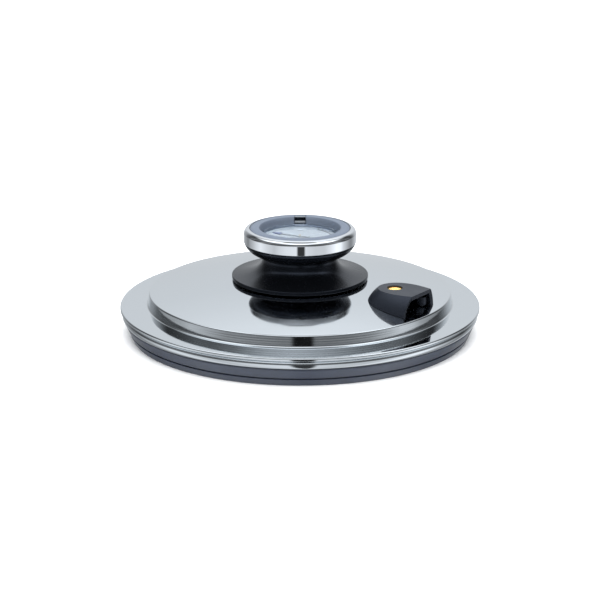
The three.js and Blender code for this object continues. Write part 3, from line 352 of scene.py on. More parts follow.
def turned_stainless(name, centre=(0, 0), pitch_mm=0.35, colour="#b9bdc1"):
    """Stainless turned or brushed in circles: rings of fine lines that spread the highlight."""
    material, tree, shader = new_material(name, Base_Color=linear(colour), Metallic=1.0, Roughness=0.3)
    place_node = add(tree, "ShaderNodeMapping", {
        "Vector": object_place(tree), "Location": (-centre[0] * MM, -centre[1] * MM, 0)})
    rings = add(tree, "ShaderNodeTexWave", {
        "Vector": place_node.outputs["Vector"], "Scale": 1 / (pitch_mm * MM) / 20,
        "Distortion": 1.5, "Detail": 3.0, "Detail Scale": 2.0}, wave_type="RINGS", rings_direction="Z")
    lines = rings.outputs["Fac"]
    tree.links.new(span(tree, lines, 0, 1, 0.22, 0.38), shader.inputs["Roughness"])
    bump = add(tree, "ShaderNodeBump", {"Height": lines, "Strength": 0.12, "Distance": 0.00005})
    tree.links.new(bump.outputs["Normal"], shader.inputs["Normal"])
    return material


def bright_chrome():
    """Chrome plate on a polished ring: the sharpest reflections on the lid, barely blue."""
    material, tree, shader = new_material(
        "chrome_plate", Base_Color=linear("#eceff3"), Metallic=1.0, Roughness=0.03)
    tree.links.new(span(tree, grain(tree, 3.0), 0.3, 0.7, 0.015, 0.04), shader.inputs["Roughness"])
    return material


def moulded(name, colour, roughness, grain_mm=0.25, depth_mm=0.01, spread=0.08, **constants):
    """Plastic from a spark-eroded mould: a fine even grain that dulls the highlight, and slight
    differences in gloss where the melt flowed."""
    material, tree, shader = new_material(name, Base_Color=linear(colour), Roughness=roughness, **constants)
    flow = grain(tree, 12.0, 3.0)
    gloss = span(tree, flow, 0.3, 0.7, roughness - spread / 2, roughness + spread / 2)
    tree.links.new(gloss, shader.inputs["Roughness"])
    bump = add(tree, "ShaderNodeBump", {
        "Height": grain(tree, grain_mm, 1.0), "Strength": 0.35, "Distance": depth_mm * MM})
    tree.links.new(bump.outputs["Normal"], shader.inputs["Normal"])
    return material


def brushed_metal(name, colour, roughness):
    """Plain drawn or turned metal with a satin surface."""
    material, tree, shader = new_material(name, Base_Color=linear(colour), Metallic=1.0, Roughness=roughness)
    gloss = span(tree, grain(tree, 0.8, 3.0), 0.3, 0.7, roughness - 0.07, roughness + 0.07)
    tree.links.new(gloss, shader.inputs["Roughness"])
    return material


def printed_dial():
    """Aluminium disc under opaque satin lacquer: an even mid grey with a slightly uneven gloss."""
    material, tree, shader = new_material(
        "lacquered_aluminium_dial", Base_Color=linear("#747a80"), Metallic=0.0, Roughness=0.5)
    tree.links.new(span(tree, grain(tree, 0.3), 0.35, 0.65, 0.36, 0.48), shader.inputs["Roughness"])
    return material


def printed_ink(name, colour):
    """Screen-printed ink: flat, slightly uneven at its thickness."""
    material, tree, shader = new_material(name, Base_Color=linear(colour), Roughness=0.5)
    tree.links.new(span(tree, grain(tree, 0.4), 0.3, 0.7, 0.42, 0.58), shader.inputs["Roughness"])
    return material


def clear_polycarbonate():
    """Moulded clear window under an anti-glare coat: you see straight through it, with a faint reflection."""
    material, tree, shader = new_material(
        "clear_polycarbonate", Base_Color=linear("#f4f8fb"), Roughness=0.02, IOR=1.14,
        Transmission_Weight=1.0)
    tree.links.new(span(tree, grain(tree, 6.0), 0.3, 0.7, 0.0, 0.03), shader.inputs["Roughness"])
    return material


def amber_plastic():
    """Tinted gloss plastic with light inside it, so the dome glows warm at its rim."""
    material, tree, shader = new_material(
        "amber_gloss_plastic", Base_Color=linear("#f7c26e"), Roughness=0.3, Subsurface_Weight=0.35,
        Subsurface_Scale=0.002)
    tree.links.new(span(tree, grain(tree, 1.5), 0.3, 0.7, 0.22, 0.34), shader.inputs["Roughness"])
    return material


STAINLESS = mirror_stainless()
CHROME = bright_chrome()
CARRIER_STEEL = turned_stainless("pressed_stainless")
# The dark colour here is painted shade: this steel is made far darker than bare stainless so that the valve
# inside the outlet hood's mouth stays dark. The spatter cup, hood screws and valve parts share it.
SHADE_DARKENED_STEEL = turned_stainless("turned_stainless", middle("valve_body"), colour="#55595e")
BLACK_PHENOLIC = moulded("black_phenolic", "#060709", 0.26, spread=0.05, Specular_Tint=linear("#d3e2ff"))
GREY_NYLON = moulded("grey_glass_filled_nylon", "#1b1e24", 0.4, Specular_Tint=linear("#dbe6ff"))
BEZEL_NYLON = moulded("blue_grey_nylon", "#5b6472", 0.46)
SEAL_SILICONE = moulded(
    "slate_silicone_rubber", "#2b3446", 0.34, Specular_IOR_Level=1.0, grain_mm=0.5, depth_mm=0.02)
WHITE_SILICONE = moulded("white_silicone_rubber", "#d6d8d6", 0.6)
AMBER = amber_plastic()
DIAL_LACQUER = printed_dial()
BLUE_INK = printed_ink("navy_ink", "#223056")
BLACK_INK = printed_ink("black_ink", "#16181d")
GREY_INK = printed_ink("grey_ink", "#9aa3ae")
CLEAR = clear_polycarbonate()
BRASS = brushed_metal("turned_brass", "#c9a860", 0.3)
SPRING_STEEL = brushed_metal("spring_steel_wire", "#a9adb2", 0.28)
CUP_ALUMINIUM = brushed_metal("pressed_aluminium", "#c0c4c8", 0.38)

# ---- Lid and seal ---------------------------------------------------------------------------------


def dome_outline(from_r, to_r, offset, steps):
    points = []
    for i in range(steps + 1):
        r = from_r + (to_r - from_r) * i / steps
        points.append((r, dome_z(r) + offset, 0))
    return points


def lid_dome():
    hole_r = STUD_R + FIT
    edge_r = PLATEAU_R - 2 * EDGE_ROUND
    under_r = PLATEAU_R - SHEET
    under_shelf = SHELF_IN_Z - SHEET
    under_rim = SHELF_OUT_Z - SHEET
    band_top = RIM_Z - RIM_EDGE - 0.5
    bead_start = (BAND_R, band_top)
    bead_end = (BAND_R, BAND_LOW_Z)
    bulge = BAND_R + BAND_BULGE * 4 / 3
    bead = bezier(bead_start, (bulge, band_top - 0.3), (bulge, BAND_LOW_Z + 0.9), bead_end, 14)
    outline = [
        *dome_outline(hole_r, edge_r, 0, 70),
        (PLATEAU_R, dome_z(PLATEAU_R), EDGE_ROUND * 0.8),
        (WALL_FOOT_R, SHELF_IN_Z, EDGE_ROUND),
        (RIM_R, SHELF_OUT_Z, RIM_EDGE * 0.95),
        (RIM_R, RIM_Z - RIM_EDGE + 0.3, 0.5),
        (BAND_R, band_top + 0.25, 0.2),
        (*bead_start, 0),
        *bead,
        (*bead_end, 0.2),
        (BAND_INNER_R, BAND_LOW_Z, 0.3),
        (BAND_INNER_R, under_rim, 0.8),
        (WALL_FOOT_R - SHEET, under_shelf, EDGE_ROUND),
        (under_r, dome_z(PLATEAU_R) - SHEET, EDGE_ROUND * 0.5),
        *dome_outline(under_r - 1.6, hole_r, -SHEET, 40),
    ]
    lid = finished("lid_dome", spun_mesh(softened(outline, 7), 288), 60)
    return place(even_normals(lid), "lid", "polished_steel", STAINLESS, "lid_shell")


def carrier_ring():
    inner_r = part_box("seal_carrier")[1].x / MM - 4.2
    foot, head = low("seal_carrier"), top("seal_carrier")
    sheet = 0.8
    outer_r = inner_r + sheet
    outline = [
        (inner_r, foot, 0.5),
        (outer_r + 2.6, foot, 0.2),
        (outer_r + 2.6, foot + sheet, 0.2),
        (outer_r, foot + sheet, 0.1),
        (outer_r, head - sheet, 0.1),
        (outer_r + 3.4, head - sheet, 0.2),
        (outer_r + 3.4, head, 0.2),
        (inner_r, head, 0.5),
    ]
    return place(even_normals(spun("carrier_ring", outline, 192)), "lid", "plain_steel", CARRIER_STEEL,
                 "seal_carrier")


def seal_skirt():
    """The plug seal: a tapered rubber skirt with a groove low on its side."""
    head = BAND_LOW_Z - FIT
    foot_r = BAND_R - 4.5
    foot_width = 5.9

    def side(z):
        return foot_r + 4.5 * z / head

    grip_r = reach("seal_carrier") - 3.1
    carrier_top, carrier_foot = top("seal_carrier"), low("seal_carrier")
    outline = [
        (foot_r - foot_width, 0, 0.4),
        (foot_r, 0, 0.6),
        (side(3.9), 3.9, 0.25),
        (side(3.9) - 1.0, 4.1, 0.15),
        (side(3.9) - 1.0, 4.9, 0.15),
        (side(5.0), 5.0, 0.25),
        (side(head) - 0.2, head - 0.9, 0.4),
        (side(head) - 0.2, head, 0.2),
        (BAND_INNER_R - FIT, head, 0),
        (BAND_INNER_R - FIT, carrier_top - FIT, 0.6),
        (grip_r + 3.4, carrier_top - FIT, 0),
        (grip_r + 3.4, carrier_top - 1.1, 0),
        (grip_r, carrier_top - 1.1, 0),
        (grip_r, carrier_foot + 1.1, 0.2),
        (grip_r + 2.6, carrier_foot + 1.1, 0),
        (grip_r + 2.6, carrier_foot - FIT, 0),
        (grip_r, carrier_foot - FIT, 0.3),
        (foot_r - foot_width, 1.2, 0.3),
    ]
    skirt = spun("seal_skirt", outline, 256)
    return place(even_normals(skirt), "lid", "seal_rubber", SEAL_SILICONE, "seal_ring")


# ---- Knob -----------------------------------------------------------------------------------------


def heat_shield():
    """The black foot of the knob: a thin disc that sweeps up into the neck."""
    hub_z = CROWN_Z + 1.4
    outline = [
        (STUD_R + FIT, hub_z, 0),
        (14.5, hub_z, 0.2),
        (15.5, hub_z - 0.7, 0.2),
        (FLANGE_R - 2.6, FLANGE_LOW_Z + 0.4, 0.5),
        (FLANGE_R, FLANGE_LOW_Z, 0.45),
        (FLANGE_R, FLANGE_TOP_Z, 0.35),
        (FLANGE_R - 1.0, FLANGE_TOP_Z + 0.08, 0),
        *bezier(
            (FLANGE_R - 1.0, FLANGE_TOP_Z + 0.08), (NECK_R + 7.2, FLANGE_TOP_Z + 1.3),
            (NECK_R, FLANGE_TOP_Z + 3.8), (NECK_R, NECK_Z - 0.2), 36),
        (NECK_R, NECK_Z, 0.15),
        (NECK_R - KNOB_WALL, NECK_Z, 0.2),
        (NECK_R - KNOB_WALL, hub_z + 3.0, 0.8),
        (STUD_R + FIT, hub_z + 3.0, 0),
    ]
    shield = spun("heat_shield", outline, 160)
    return place(even_normals(shield), "lid", "black_phenolic", BLACK_PHENOLIC, "knob_flange")


CUP_LEDGE = 6.1  # the bowl's ledge above the foot of the thermometer cup
BOWL_HOLE_R = 9.5  # hole in the bowl's floor, round the nut


def grip_bowl():
    cup_z = low("sensor_cup")
    cup_r = reach("sensor_cup") - 1.8
    spigot_z = low("knob_bowl")
    spigot_r = NECK_R - KNOB_WALL - FIT
    foot_r = NECK_R + BOWL_LEDGE
    flare = BOWL_R - foot_r
    rise = BOWL_SHOULDER_Z - BOWL_Z
    outline = [
        (9.5, spigot_z, 0),
        (spigot_r, spigot_z, 0.2),
        (spigot_r, BOWL_Z, 0),
        (foot_r - 0.1, BOWL_Z, 0.15),
        (foot_r + 0.2, BOWL_Z + 0.3, 0.12),
        (foot_r + 0.12, BOWL_Z + 0.55, 0.1),
        *bezier(
            (foot_r + 0.15, BOWL_Z + 0.55), (foot_r + flare * 0.5, BOWL_Z + rise * 0.27),
            (BOWL_R - flare * 0.13, BOWL_Z + rise * 0.555), (BOWL_R, BOWL_SHOULDER_Z - 0.1), 30),
        (BOWL_R, BOWL_SHOULDER_Z, 0.1),
        (CHROME_R - CHROME_WALL - FIT, BOWL_SHOULDER_Z, 0),
        (CHROME_R - CHROME_WALL - FIT, BOWL_RIM_Z, 0.2),
        (BEZEL_R + 0.1, BOWL_RIM_Z, 0.2),
        (BEZEL_R + 0.1, cup_z + CUP_LEDGE, 0),
        (cup_r, cup_z + CUP_LEDGE, 0.2),
        (cup_r, cup_z + 1.7, 1.5),
        (cup_r - 2, cup_z - FIT, 0.5),
        (BOWL_HOLE_R, cup_z - FIT, 0),
    ]
    bowl = spun("grip_bowl", outline, 160)
    return place(even_normals(bowl), "lid", "black_phenolic", BLACK_PHENOLIC, "knob_bowl")


def chrome_band():
    inner_r = CHROME_R - CHROME_WALL
    seam_r = BEZEL_R + FIT
    outline = [
        (inner_r, CHROME_LOW_Z, 0.1),
        (CHROME_R, CHROME_LOW_Z, 0.3),
        (CHROME_R, CHROME_CREASE_Z, 0.12),
        (CHROME_R - 0.25, CHROME_CREASE_Z + 0.45, 0),
        *bezier(
            (CHROME_R - 0.25, CHROME_CREASE_Z + 0.45), (CHROME_R - 0.7, CHROME_TOP_Z - 0.6),
            (CHROME_R - 2, CHROME_TOP_Z), (seam_r + 0.15, CHROME_TOP_Z), 14),
        (seam_r + 0.1, CHROME_TOP_Z, 0),
        (seam_r, CHROME_TOP_Z - 0.15, 0),
        (seam_r, CHROME_TOP_Z - CHROME_WALL, 0.1),
        (inner_r, CHROME_CREASE_Z - CHROME_WALL / 2, 0.1),
    ]
    band = spun("chrome_band", outline, 256, segments=4)
    return place(even_normals(band), "lid", "chrome_trim", CHROME, "chrome_ring")


NOTCH_HALF = 3.55  # half the width of the notch at the back of the well
NOTCH_DEPTH = 3.6  # from the mouth of the well outwards
CATCH_EDGE = 0.12


def bezel():
    seat_r = BEZEL_R - 0.2
    outline = [
        (WELL_FOOT_R, BEZEL_LOW_Z, 0.2),
        (seat_r, BEZEL_LOW_Z, 0.2),
        (seat_r, CHROME_TOP_Z - CHROME_WALL - FIT, 0),
        (BEZEL_R, CHROME_TOP_Z - CHROME_WALL, 0),
        (BEZEL_R, CHROME_TOP_Z - 0.2, 0.15),
        (BEZEL_R - 1.4, KNOB_TOP_Z, 1.6),
        (WELL_R + 0.5, KNOB_TOP_Z, 0.9),
        (WELL_R - 0.3, KNOB_TOP_Z - 1.6, 1.2),
        (WELL_FOOT_R, LENS_TOP_Z, 0.2),
    ]
    ring = spun("bezel", outline, 160)
    inside, back, above = 10, WELL_R + NOTCH_DEPTH, KNOB_TOP_Z + 1
    cut(ring, block_mesh((-NOTCH_HALF, inside, LENS_LOW_Z), (NOTCH_HALF, back, above)))
    return place(ring, "lid", "bezel_plastic", BEZEL_NYLON, "bezel_ring")


def catch_strip():
    """The docking catch in the notch: a grey sill and lip, and a dark window between them."""
    lowest, highest = (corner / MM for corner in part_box("dock_catch"))
    strip = 0.6
    lip_z = highest.z - strip
    sill = bevelled_block("catch_sill", lowest, (highest.x, highest.y - strip, lowest.z + strip))
    place(sill, "lid", "dial_paint", DIAL_LACQUER, "dock_catch")
    lip = bevelled_block("catch_lip", (lowest.x, highest.y - 3 * strip, lip_z), highest)
    place(lip, "lid", "dial_paint", DIAL_LACQUER)
    front = (lowest.x, highest.y - strip, lowest.z)
    window = bevelled_block("catch_window", front, (highest.x, highest.y, lip_z))
    place(window, "lid", "black_phenolic", BLACK_PHENOLIC)


def bevelled_block(name, low_corner, high_corner):
    mesh = block_mesh(low_corner, high_corner)
    bmesh.ops.bevel(mesh, geom=mesh.edges[:], offset=CATCH_EDGE * MM, offset_type="OFFSET", affect="EDGES",
                    segments=2, profile=0.5, material=-1)
    return finished(name, mesh)


# ---- Dial -----------------------------------------------------------------------------------------

PRINT = 0.03  # thickness of the printed marks
DIAL_SHEET = 0.8
DIAL_HOLE_R = 1.2  # hole for the pointer's spindle


def dial_disc():
    outline = [
        (DIAL_HOLE_R, DIAL_Z - DIAL_SHEET, 0.1),
        (DIAL_R, DIAL_Z - DIAL_SHEET, 0.1),
        (DIAL_R, DIAL_Z, 0.15),
        (DIAL_HOLE_R, DIAL_Z, 0.1),
    ]
    disc = spun("dial_disc", outline, 96)
    return place(even_normals(disc), "lid", "dial_paint", DIAL_LACQUER, "dial_plate")


def printed_shape(name, corners, material):
    """A flat print on the dial, from its outline's (x, y) corners in mm."""
    mesh = bmesh.new()
    face = mesh.faces.new([mesh.verts.new((x * MM, y * MM, DIAL_Z * MM)) for x, y in corners])
    raised = bmesh.ops.extrude_face_region(mesh, geom=[face])
    lifted = [item for item in raised["geom"] if isinstance(item, bmesh.types.BMVert)]
    bmesh.ops.translate(mesh, verts=lifted, vec=(0, 0, PRINT * MM))
    return place(finished(name, mesh), "lid", "pointer_paint", material)


def sweep(radius, width_start, width_end, start, end, steps=16):
    """Corners of a bent bar round the dial, from one azimuth to another in degrees."""
    outer, inner = [], []
    for i in range(steps + 1):
        share = i / steps
        azimuth = math.radians(start + (end - start) * share)
        half = (width_start + (width_end - width_start) * share) / 2
        outer.append(((radius + half) * math.cos(azimuth), (radius + half) * math.sin(azimuth)))
        inner.append(((radius - half) * math.cos(azimuth), (radius - half) * math.sin(azimuth)))
    return outer + inner[::-1]


def dial_marks():
    printed_shape("hot_zone", sweep(18.7, 0.6, 1.9, 5, 56), BLACK_INK)
    for i, azimuth in enumerate((58, 50, 42, 34)):
        printed_shape(f"tick_{i + 1}", sweep(20.9, 1.0, 1.0, azimuth - 1.5, azimuth + 1.5, 2), BLACK_INK)
    printed_shape("ready_ring", sweep(15.6, 1.5, 1.5, 84, 94, 4), GREY_INK)
    printed_shape("ready_bar", sweep(13.2, 0.9, 0.9, 82, 96, 4), BLACK_INK)
    printed_shape("low_zone", sweep(8.2, 0.35, 0.35, 120, 200), GREY_INK)
    printed_shape("low_edge", sweep(5.4, 0.3, 0.3, 110, 190), GREY_INK)


def dial_window():
    outline = [
        (0, LENS_LOW_Z, 0),
        (DIAL_R, LENS_LOW_Z, 0.1),
        (DIAL_R, LENS_TOP_Z, 0.25),
        (0, LENS_TOP_Z, 0),
    ]
    window = spun("dial_window", outline, 96)
    window.visible_shadow = False
    return place(even_normals(window), "lid", "lens", CLEAR, "dial_lens")


def pointer():
    """A pale arm that carries a navy wedge."""
    lowest, highest = low("pointer_arm"), top("pointer_arm")
    rest = Vector(middle("pointer_tip")).normalized()
    across = Vector((-rest.y, rest.x))

    def flat(name, corners, material, node):
        mesh = bmesh.new()
        verts = [mesh.verts.new((*((rest * a + across * b) * MM), lowest * MM)) for a, b in corners]
        raised = bmesh.ops.extrude_face_region(mesh, geom=[mesh.faces.new(verts)])
        lifted = [item for item in raised["geom"] if isinstance(item, bmesh.types.BMVert)]
        bmesh.ops.translate(mesh, verts=lifted, vec=(0, 0, (highest - lowest) * MM))
        bmesh.ops.bevel(mesh, geom=mesh.edges[:], offset=0.05 * MM, offset_type="OFFSET", affect="EDGES",
                        segments=1, profile=0.5, material=-1)
        slot = "pointer_paint" if node == "pointer_tip" else "dial_paint"
        return place(finished(name, mesh), "pointer", slot, material, node)

    hub = [(2.2 * math.cos(a), 2.2 * math.sin(a)) for a in (math.radians(d) for d in range(-150, 151, 20))]
    arm = [(-6, 1.1), (-6, -1.1), (-1.9, -0.95), *[p for p in hub if p[0] > -1.9 and p[1] < -0.6],
           (11.8, -0.45), (11.8, 0.45), *[p for p in hub if p[0] > -1.9 and p[1] > 0.6], (-1.9, 0.95)]
    flat("pointer_hand", arm, DIAL_LACQUER, "pointer_arm")
    flat("pointer_wedge", [(12.1, -1.9), (18.0, 0), (12.1, 1.9)], BLUE_INK, "pointer_tip")


# ---- Steam outlet ---------------------------------------------------------------------------------

BASE_OUTLINE = ((0, 0), (0.02, 0.26), (0.11, 0.6), (0.27, 0.86), (0.5, 0.98), (0.76, 1), (1, 0.92))
TOP_OUTLINE = ((0, 0), (0.025, 0.3), (0.11, 0.63), (0.27, 0.88), (0.5, 1), (0.75, 0.96), (1, 0.84))
HOOD_FOOT_Z = dome_z(MOUTH_U) - 3


def on_outline(shares, mouth, length, half, t):
    """A point on a smooth half outline, t running from the tip (0) to the mouth (1)."""
    last = len(shares) - 1
    i = min(int(t * last), last - 1)
    f = t * last - i
    p = [shares[max(0, min(last, i + k))] for k in (-1, 0, 1, 2)]
    if i == 0:
        p[0] = (shares[1][0], -shares[1][1])
    value = []
    for k in range(2):
        a, b, c, d = (q[k] for q in p)
        value.append(b + 0.5 * f * (c - a + f * (2 * a - 5 * b + 4 * c - d + f * (3 * (b - c) + d - a))))
    return mouth - length + value[0] * length, value[1] * half


def hood_point(t, side, height):
    """A point on the hood's skin; height runs from the lid (0) to the flat top (1)."""
    base = Vector(on_outline(BASE_OUTLINE, MOUTH_U - HOOD_MOUTH_LEAN, HOOD_LENGTH, HOOD_BASE_HALF, t))
    head = Vector(on_outline(TOP_OUTLINE, MOUTH_U, HOOD_TOP_LENGTH, HOOD_TOP_HALF, t))
    whole = HOOD_TOP_Z - HOOD_FOOT_Z
    start = 0.4
    for _ in range(8):
        foot = base.lerp(head, start ** HOOD_BULGE)
        start = (dome_z(foot.length) + 0.15 - HOOD_FOOT_Z) / whole
    rise = start + (1 - start) * height
    place_on = base.lerp(head, rise ** HOOD_BULGE)
    return Vector((place_on.x, side * place_on.y, HOOD_FOOT_Z + whole * rise))


GUIDE_WALL = 1.6  # outside of the button's guide, past the button
BOSS_R = 3.0
BOSS_HOLE_R = 1.8
BOSS_DROP = 5.6  # from the hood's flat top down to its screw bosses


def outlet_hood():
    around, up = 72, 20
    mesh = bmesh.new()
    bmesh.ops.create_grid(mesh, x_segments=around, y_segments=up, size=1)
    rim = []
    for vert in mesh.verts:
        along, height = vert.co.x, (vert.co.y + 1) / 2
        if height > 0.999:
            rim.append((along, vert))
        vert.co = hood_point(abs(along), 1 if along >= 0 else -1, height) * MM
    mesh.faces.new([vert for _, vert in sorted(rim, key=lambda item: item[0])])
    hood = finished("hood", to_outlet(mesh), 50)
    modify(hood, "SOLIDIFY", thickness=HOOD_WALL * MM, offset=-1, use_even_offset=True)
    settle(hood)
    hole_r, hole_low, hole_top = BUTTON_R + FIT, HOOD_TOP_Z - 6, HOOD_TOP_Z + 1
    hole = [(0, hole_low, 0), (hole_r, hole_low, 0), (hole_r, hole_top, 0), (0, hole_top, 0)]
    cut(hood, spun_mesh(softened(hole), 48, middle("release_button")))
    hood.data.set_sharp_from_angle(angle=math.radians(35))
    modify(hood, "BEVEL", width=0.3 * MM, segments=2, limit_method="ANGLE", angle_limit=math.radians(35))
    even_normals(hood)
    place(hood, "lid", "grey_plastic", GREY_NYLON, "outlet_hood")
    guide_r, guide_top = BUTTON_R + GUIDE_WALL, HOOD_TOP_Z - HOOD_WALL + 0.1
    guide = [(hole_r, BUTTON_LOW_Z, 0.1), (guide_r, BUTTON_LOW_Z, 0.1), (guide_r, guide_top, 0),
             (hole_r, guide_top, 0)]
    place(spun("button_guide", guide, 48, middle("release_button")), "lid", "grey_plastic", GREY_NYLON)
    boss_top = HOOD_TOP_Z - BOSS_DROP
    for number in (1, 2):
        x, y = middle(f"hood_screw_{number}")
        foot = dome_z(math.hypot(x, y) - 3) + 0.1
        boss = [(BOSS_HOLE_R, foot, 0.1), (BOSS_R, foot, 0.1), (BOSS_R, boss_top, 0.3),
                (BOSS_HOLE_R, boss_top, 0.1)]
        place(spun(f"hood_boss_{number}", boss, 32, (x, y)), "lid", "grey_plastic", GREY_NYLON)


DOME_SHARES = (0.9, 0.75, 0.6, 0.45, 0.3, 0.15)  # of the button's radius, from its edge inwards


def amber_button():
    crown = 0.9
    socket, socket_r = 1.6, 1.7  # where the valve's stem fits
    dome = [(BUTTON_R * share, BUTTON_TOP_Z - crown * share ** 2, 0) for share in DOME_SHARES]
    outline = [
        (0, BUTTON_LOW_Z + socket, 0),
        (socket_r, BUTTON_LOW_Z + socket, 0.1),
        (socket_r, BUTTON_LOW_Z, 0.1),
        (BUTTON_R, BUTTON_LOW_Z, 0.2),
        (BUTTON_R, BUTTON_TOP_Z - crown - 0.2, 0.3),
        *dome,
        (0, BUTTON_TOP_Z, 0),
    ]
    button = spun("amber_button", outline, 64, middle("release_button"))
    return place(even_normals(button), "button", "amber_plastic", AMBER, "release_button")


def return_spring():
    """The coil under the button, built at the length of its CAD node."""
    low_z, high_z = low("button_spring"), top("button_spring")
    wire_r = SPRING_WIRE / 2
    coil_r = (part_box("button_spring")[1].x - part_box("button_spring")[0].x) / MM / 2 - wire_r
    steps = 36 * SPRING_TURNS
    rise = high_z - low_z - SPRING_WIRE
    centre = middle("button_spring")
    mesh = bmesh.new()
    start = Matrix.Translation((coil_r * MM, 0, (low_z + wire_r) * MM))
    upright = start @ Matrix.Rotation(math.pi / 2, 4, "X")
    bmesh.ops.create_circle(mesh, segments=12, radius=wire_r * MM, matrix=upright)
    bmesh.ops.spin(mesh, geom=mesh.verts[:] + mesh.edges[:], cent=(0, 0, 0), axis=(0, 0, 1),
                   dvec=(0, 0, rise * MM / steps), angle=FULL_TURN * SPRING_TURNS, steps=steps,
                   use_merge=False, use_duplicate=False)
    bmesh.ops.translate(mesh, verts=mesh.verts, vec=(centre[0] * MM, centre[1] * MM, 0))
    ends = [edge for edge in mesh.edges if len(edge.link_faces) == 1]
    bmesh.ops.holes_fill(mesh, edges=ends, sides=0)
    spring = place(finished("return_spring", mesh), "lid", "plain_steel", SPRING_STEEL, "button_spring")
    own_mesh(spring)


# ---- Underside ------------------------------------------------------------------------------------


def spatter_cup():
    """The pierced cup that keeps food off the valve."""
    centre = middle("splash_guard")
    outer_r = (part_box("splash_guard")[1].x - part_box("splash_guard")[0].x) / 2 / MM
    foot, head, sheet = low("splash_guard"), top("splash_guard"), 0.8
    outline = [
        (0, foot, 0),
        (outer_r, foot, 1.4),
        (outer_r, head, 0.2),
        (outer_r - sheet, head, 0.2),
        (outer_r - sheet, foot + sheet, 0.8),
        (0, foot + sheet, 0),
    ]
    cup = spun("spatter_cup", outline, 64, centre)
    for i in range(6):
        angle = FULL_TURN * i / 6 + OUTLET_AZIMUTH
        hole = [(0, foot - 1, 0), (1.5, foot - 1, 0), (1.5, foot + 2, 0), (0, foot + 2, 0)]
        at = (centre[0] + 6 * math.cos(angle), centre[1] + 6 * math.sin(angle))
        cut(cup, spun_mesh(softened(hole), 20, at))
    return place(cup, "lid", "plain_steel", SHADE_DARKENED_STEEL, "splash_guard")


def stud():
    foot, head = low("knob_stud"), top("knob_stud")
    head_top = foot + 2.4
    outline = [
        (2.2, foot, 0.15),
        (13, foot, 1.1),
        (13, head_top, 0.3),
        (STUD_R, head_top, 0),
        (STUD_R, head, 0.4),
        (2.2, head, 0.1),
    ]
    return place(even_normals(spun("stud", outline, 96)), "lid", "plain_steel", CARRIER_STEEL, "knob_stud")


def hood_screw(number):
    """A pan-head screw with a hexagon socket."""
    centre = middle(f"hood_screw_{number}")
    foot, head = low(f"hood_screw_{number}"), top(f"hood_screw_{number}")
    outline = [
        (0, foot, 0),
        (3.2, foot, 0.7),
        (3.2, foot + 1.6, 0.15),
        (1.5, foot + 1.6, 0),
        (1.5, head, 0.3),
        (0, head, 0),
    ]
    screw = spun(f"pan_screw_{number}", outline, 48, centre)
    socket = spun_mesh([(0, foot - 1), (1.3, foot - 1), (1.3, foot + 1.0), (0, foot + 1.0)], 6, centre)
    cut(screw, socket)
    return place(screw, "lid", "plain_steel", SHADE_DARKENED_STEEL, f"hood_screw_{number}")


# ---- CAD nodes that stay --------------------------------------------------------------------------

KEPT = {
    "stud_washer": WHITE_SILICONE, "base_washer": WHITE_SILICONE, "seat_washer": WHITE_SILICONE,
    "nut_washer": WHITE_SILICONE, "screw_seal_1": WHITE_SILICONE, "screw_seal_2": WHITE_SILICONE,
    "valve_disc": WHITE_SILICONE, "flat_washer": CARRIER_STEEL, "stud_nut": CARRIER_STEEL,
    "knob_screw_1": SPRING_STEEL, "knob_screw_2": SPRING_STEEL, "knob_screw_3": SPRING_STEEL,
    "sensor_cup": CUP_ALUMINIUM, "heat_probe": BRASS, "bimetal_coil": BRASS, "spindle_bush": BRASS,
    "pointer_spindle": BRASS, "valve_body": SHADE_DARKENED_STEEL, "valve_nut": SHADE_DARKENED_STEEL,
    "valve_stem": SHADE_DARKENED_STEEL, "disc_washer": SHADE_DARKENED_STEEL,
}


def dress_kept_nodes():
    for name, material in KEPT.items():
        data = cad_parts[name].data
        data.materials.clear()
        data.materials.append(material)


# ---- Studio ---------------------------------------------------------------------------------------


def studio_plane(name, size_x, size_y, material, matrix):
    mesh = bmesh.new()
    bmesh.ops.create_grid(mesh, x_segments=1, y_segments=1, size=0.5)
    bmesh.ops.transform(mesh, verts=mesh.verts, matrix=matrix @ Matrix.Diagonal((size_x, size_y, 1, 1)))
    plane = finished(name, mesh)
    plane.data.materials.append(material)
    return plane


def area_light(name, power, size_x, size_y, spot, aim):
    lamp = bpy.data.lights.new(name, "AREA")
    lamp.shape = "RECTANGLE"
    lamp.size, lamp.size_y = size_x, size_y
    lamp.energy = power
    lamp_object = bpy.data.objects.new(name, lamp)
    lamp_object.location = spot
    lamp_object.rotation_euler = (Vector(aim) - Vector(spot)).to_track_quat("-Z", "Y").to_euler()
    bpy.context.scene.collection.objects.link(lamp_object)
    return lamp_object


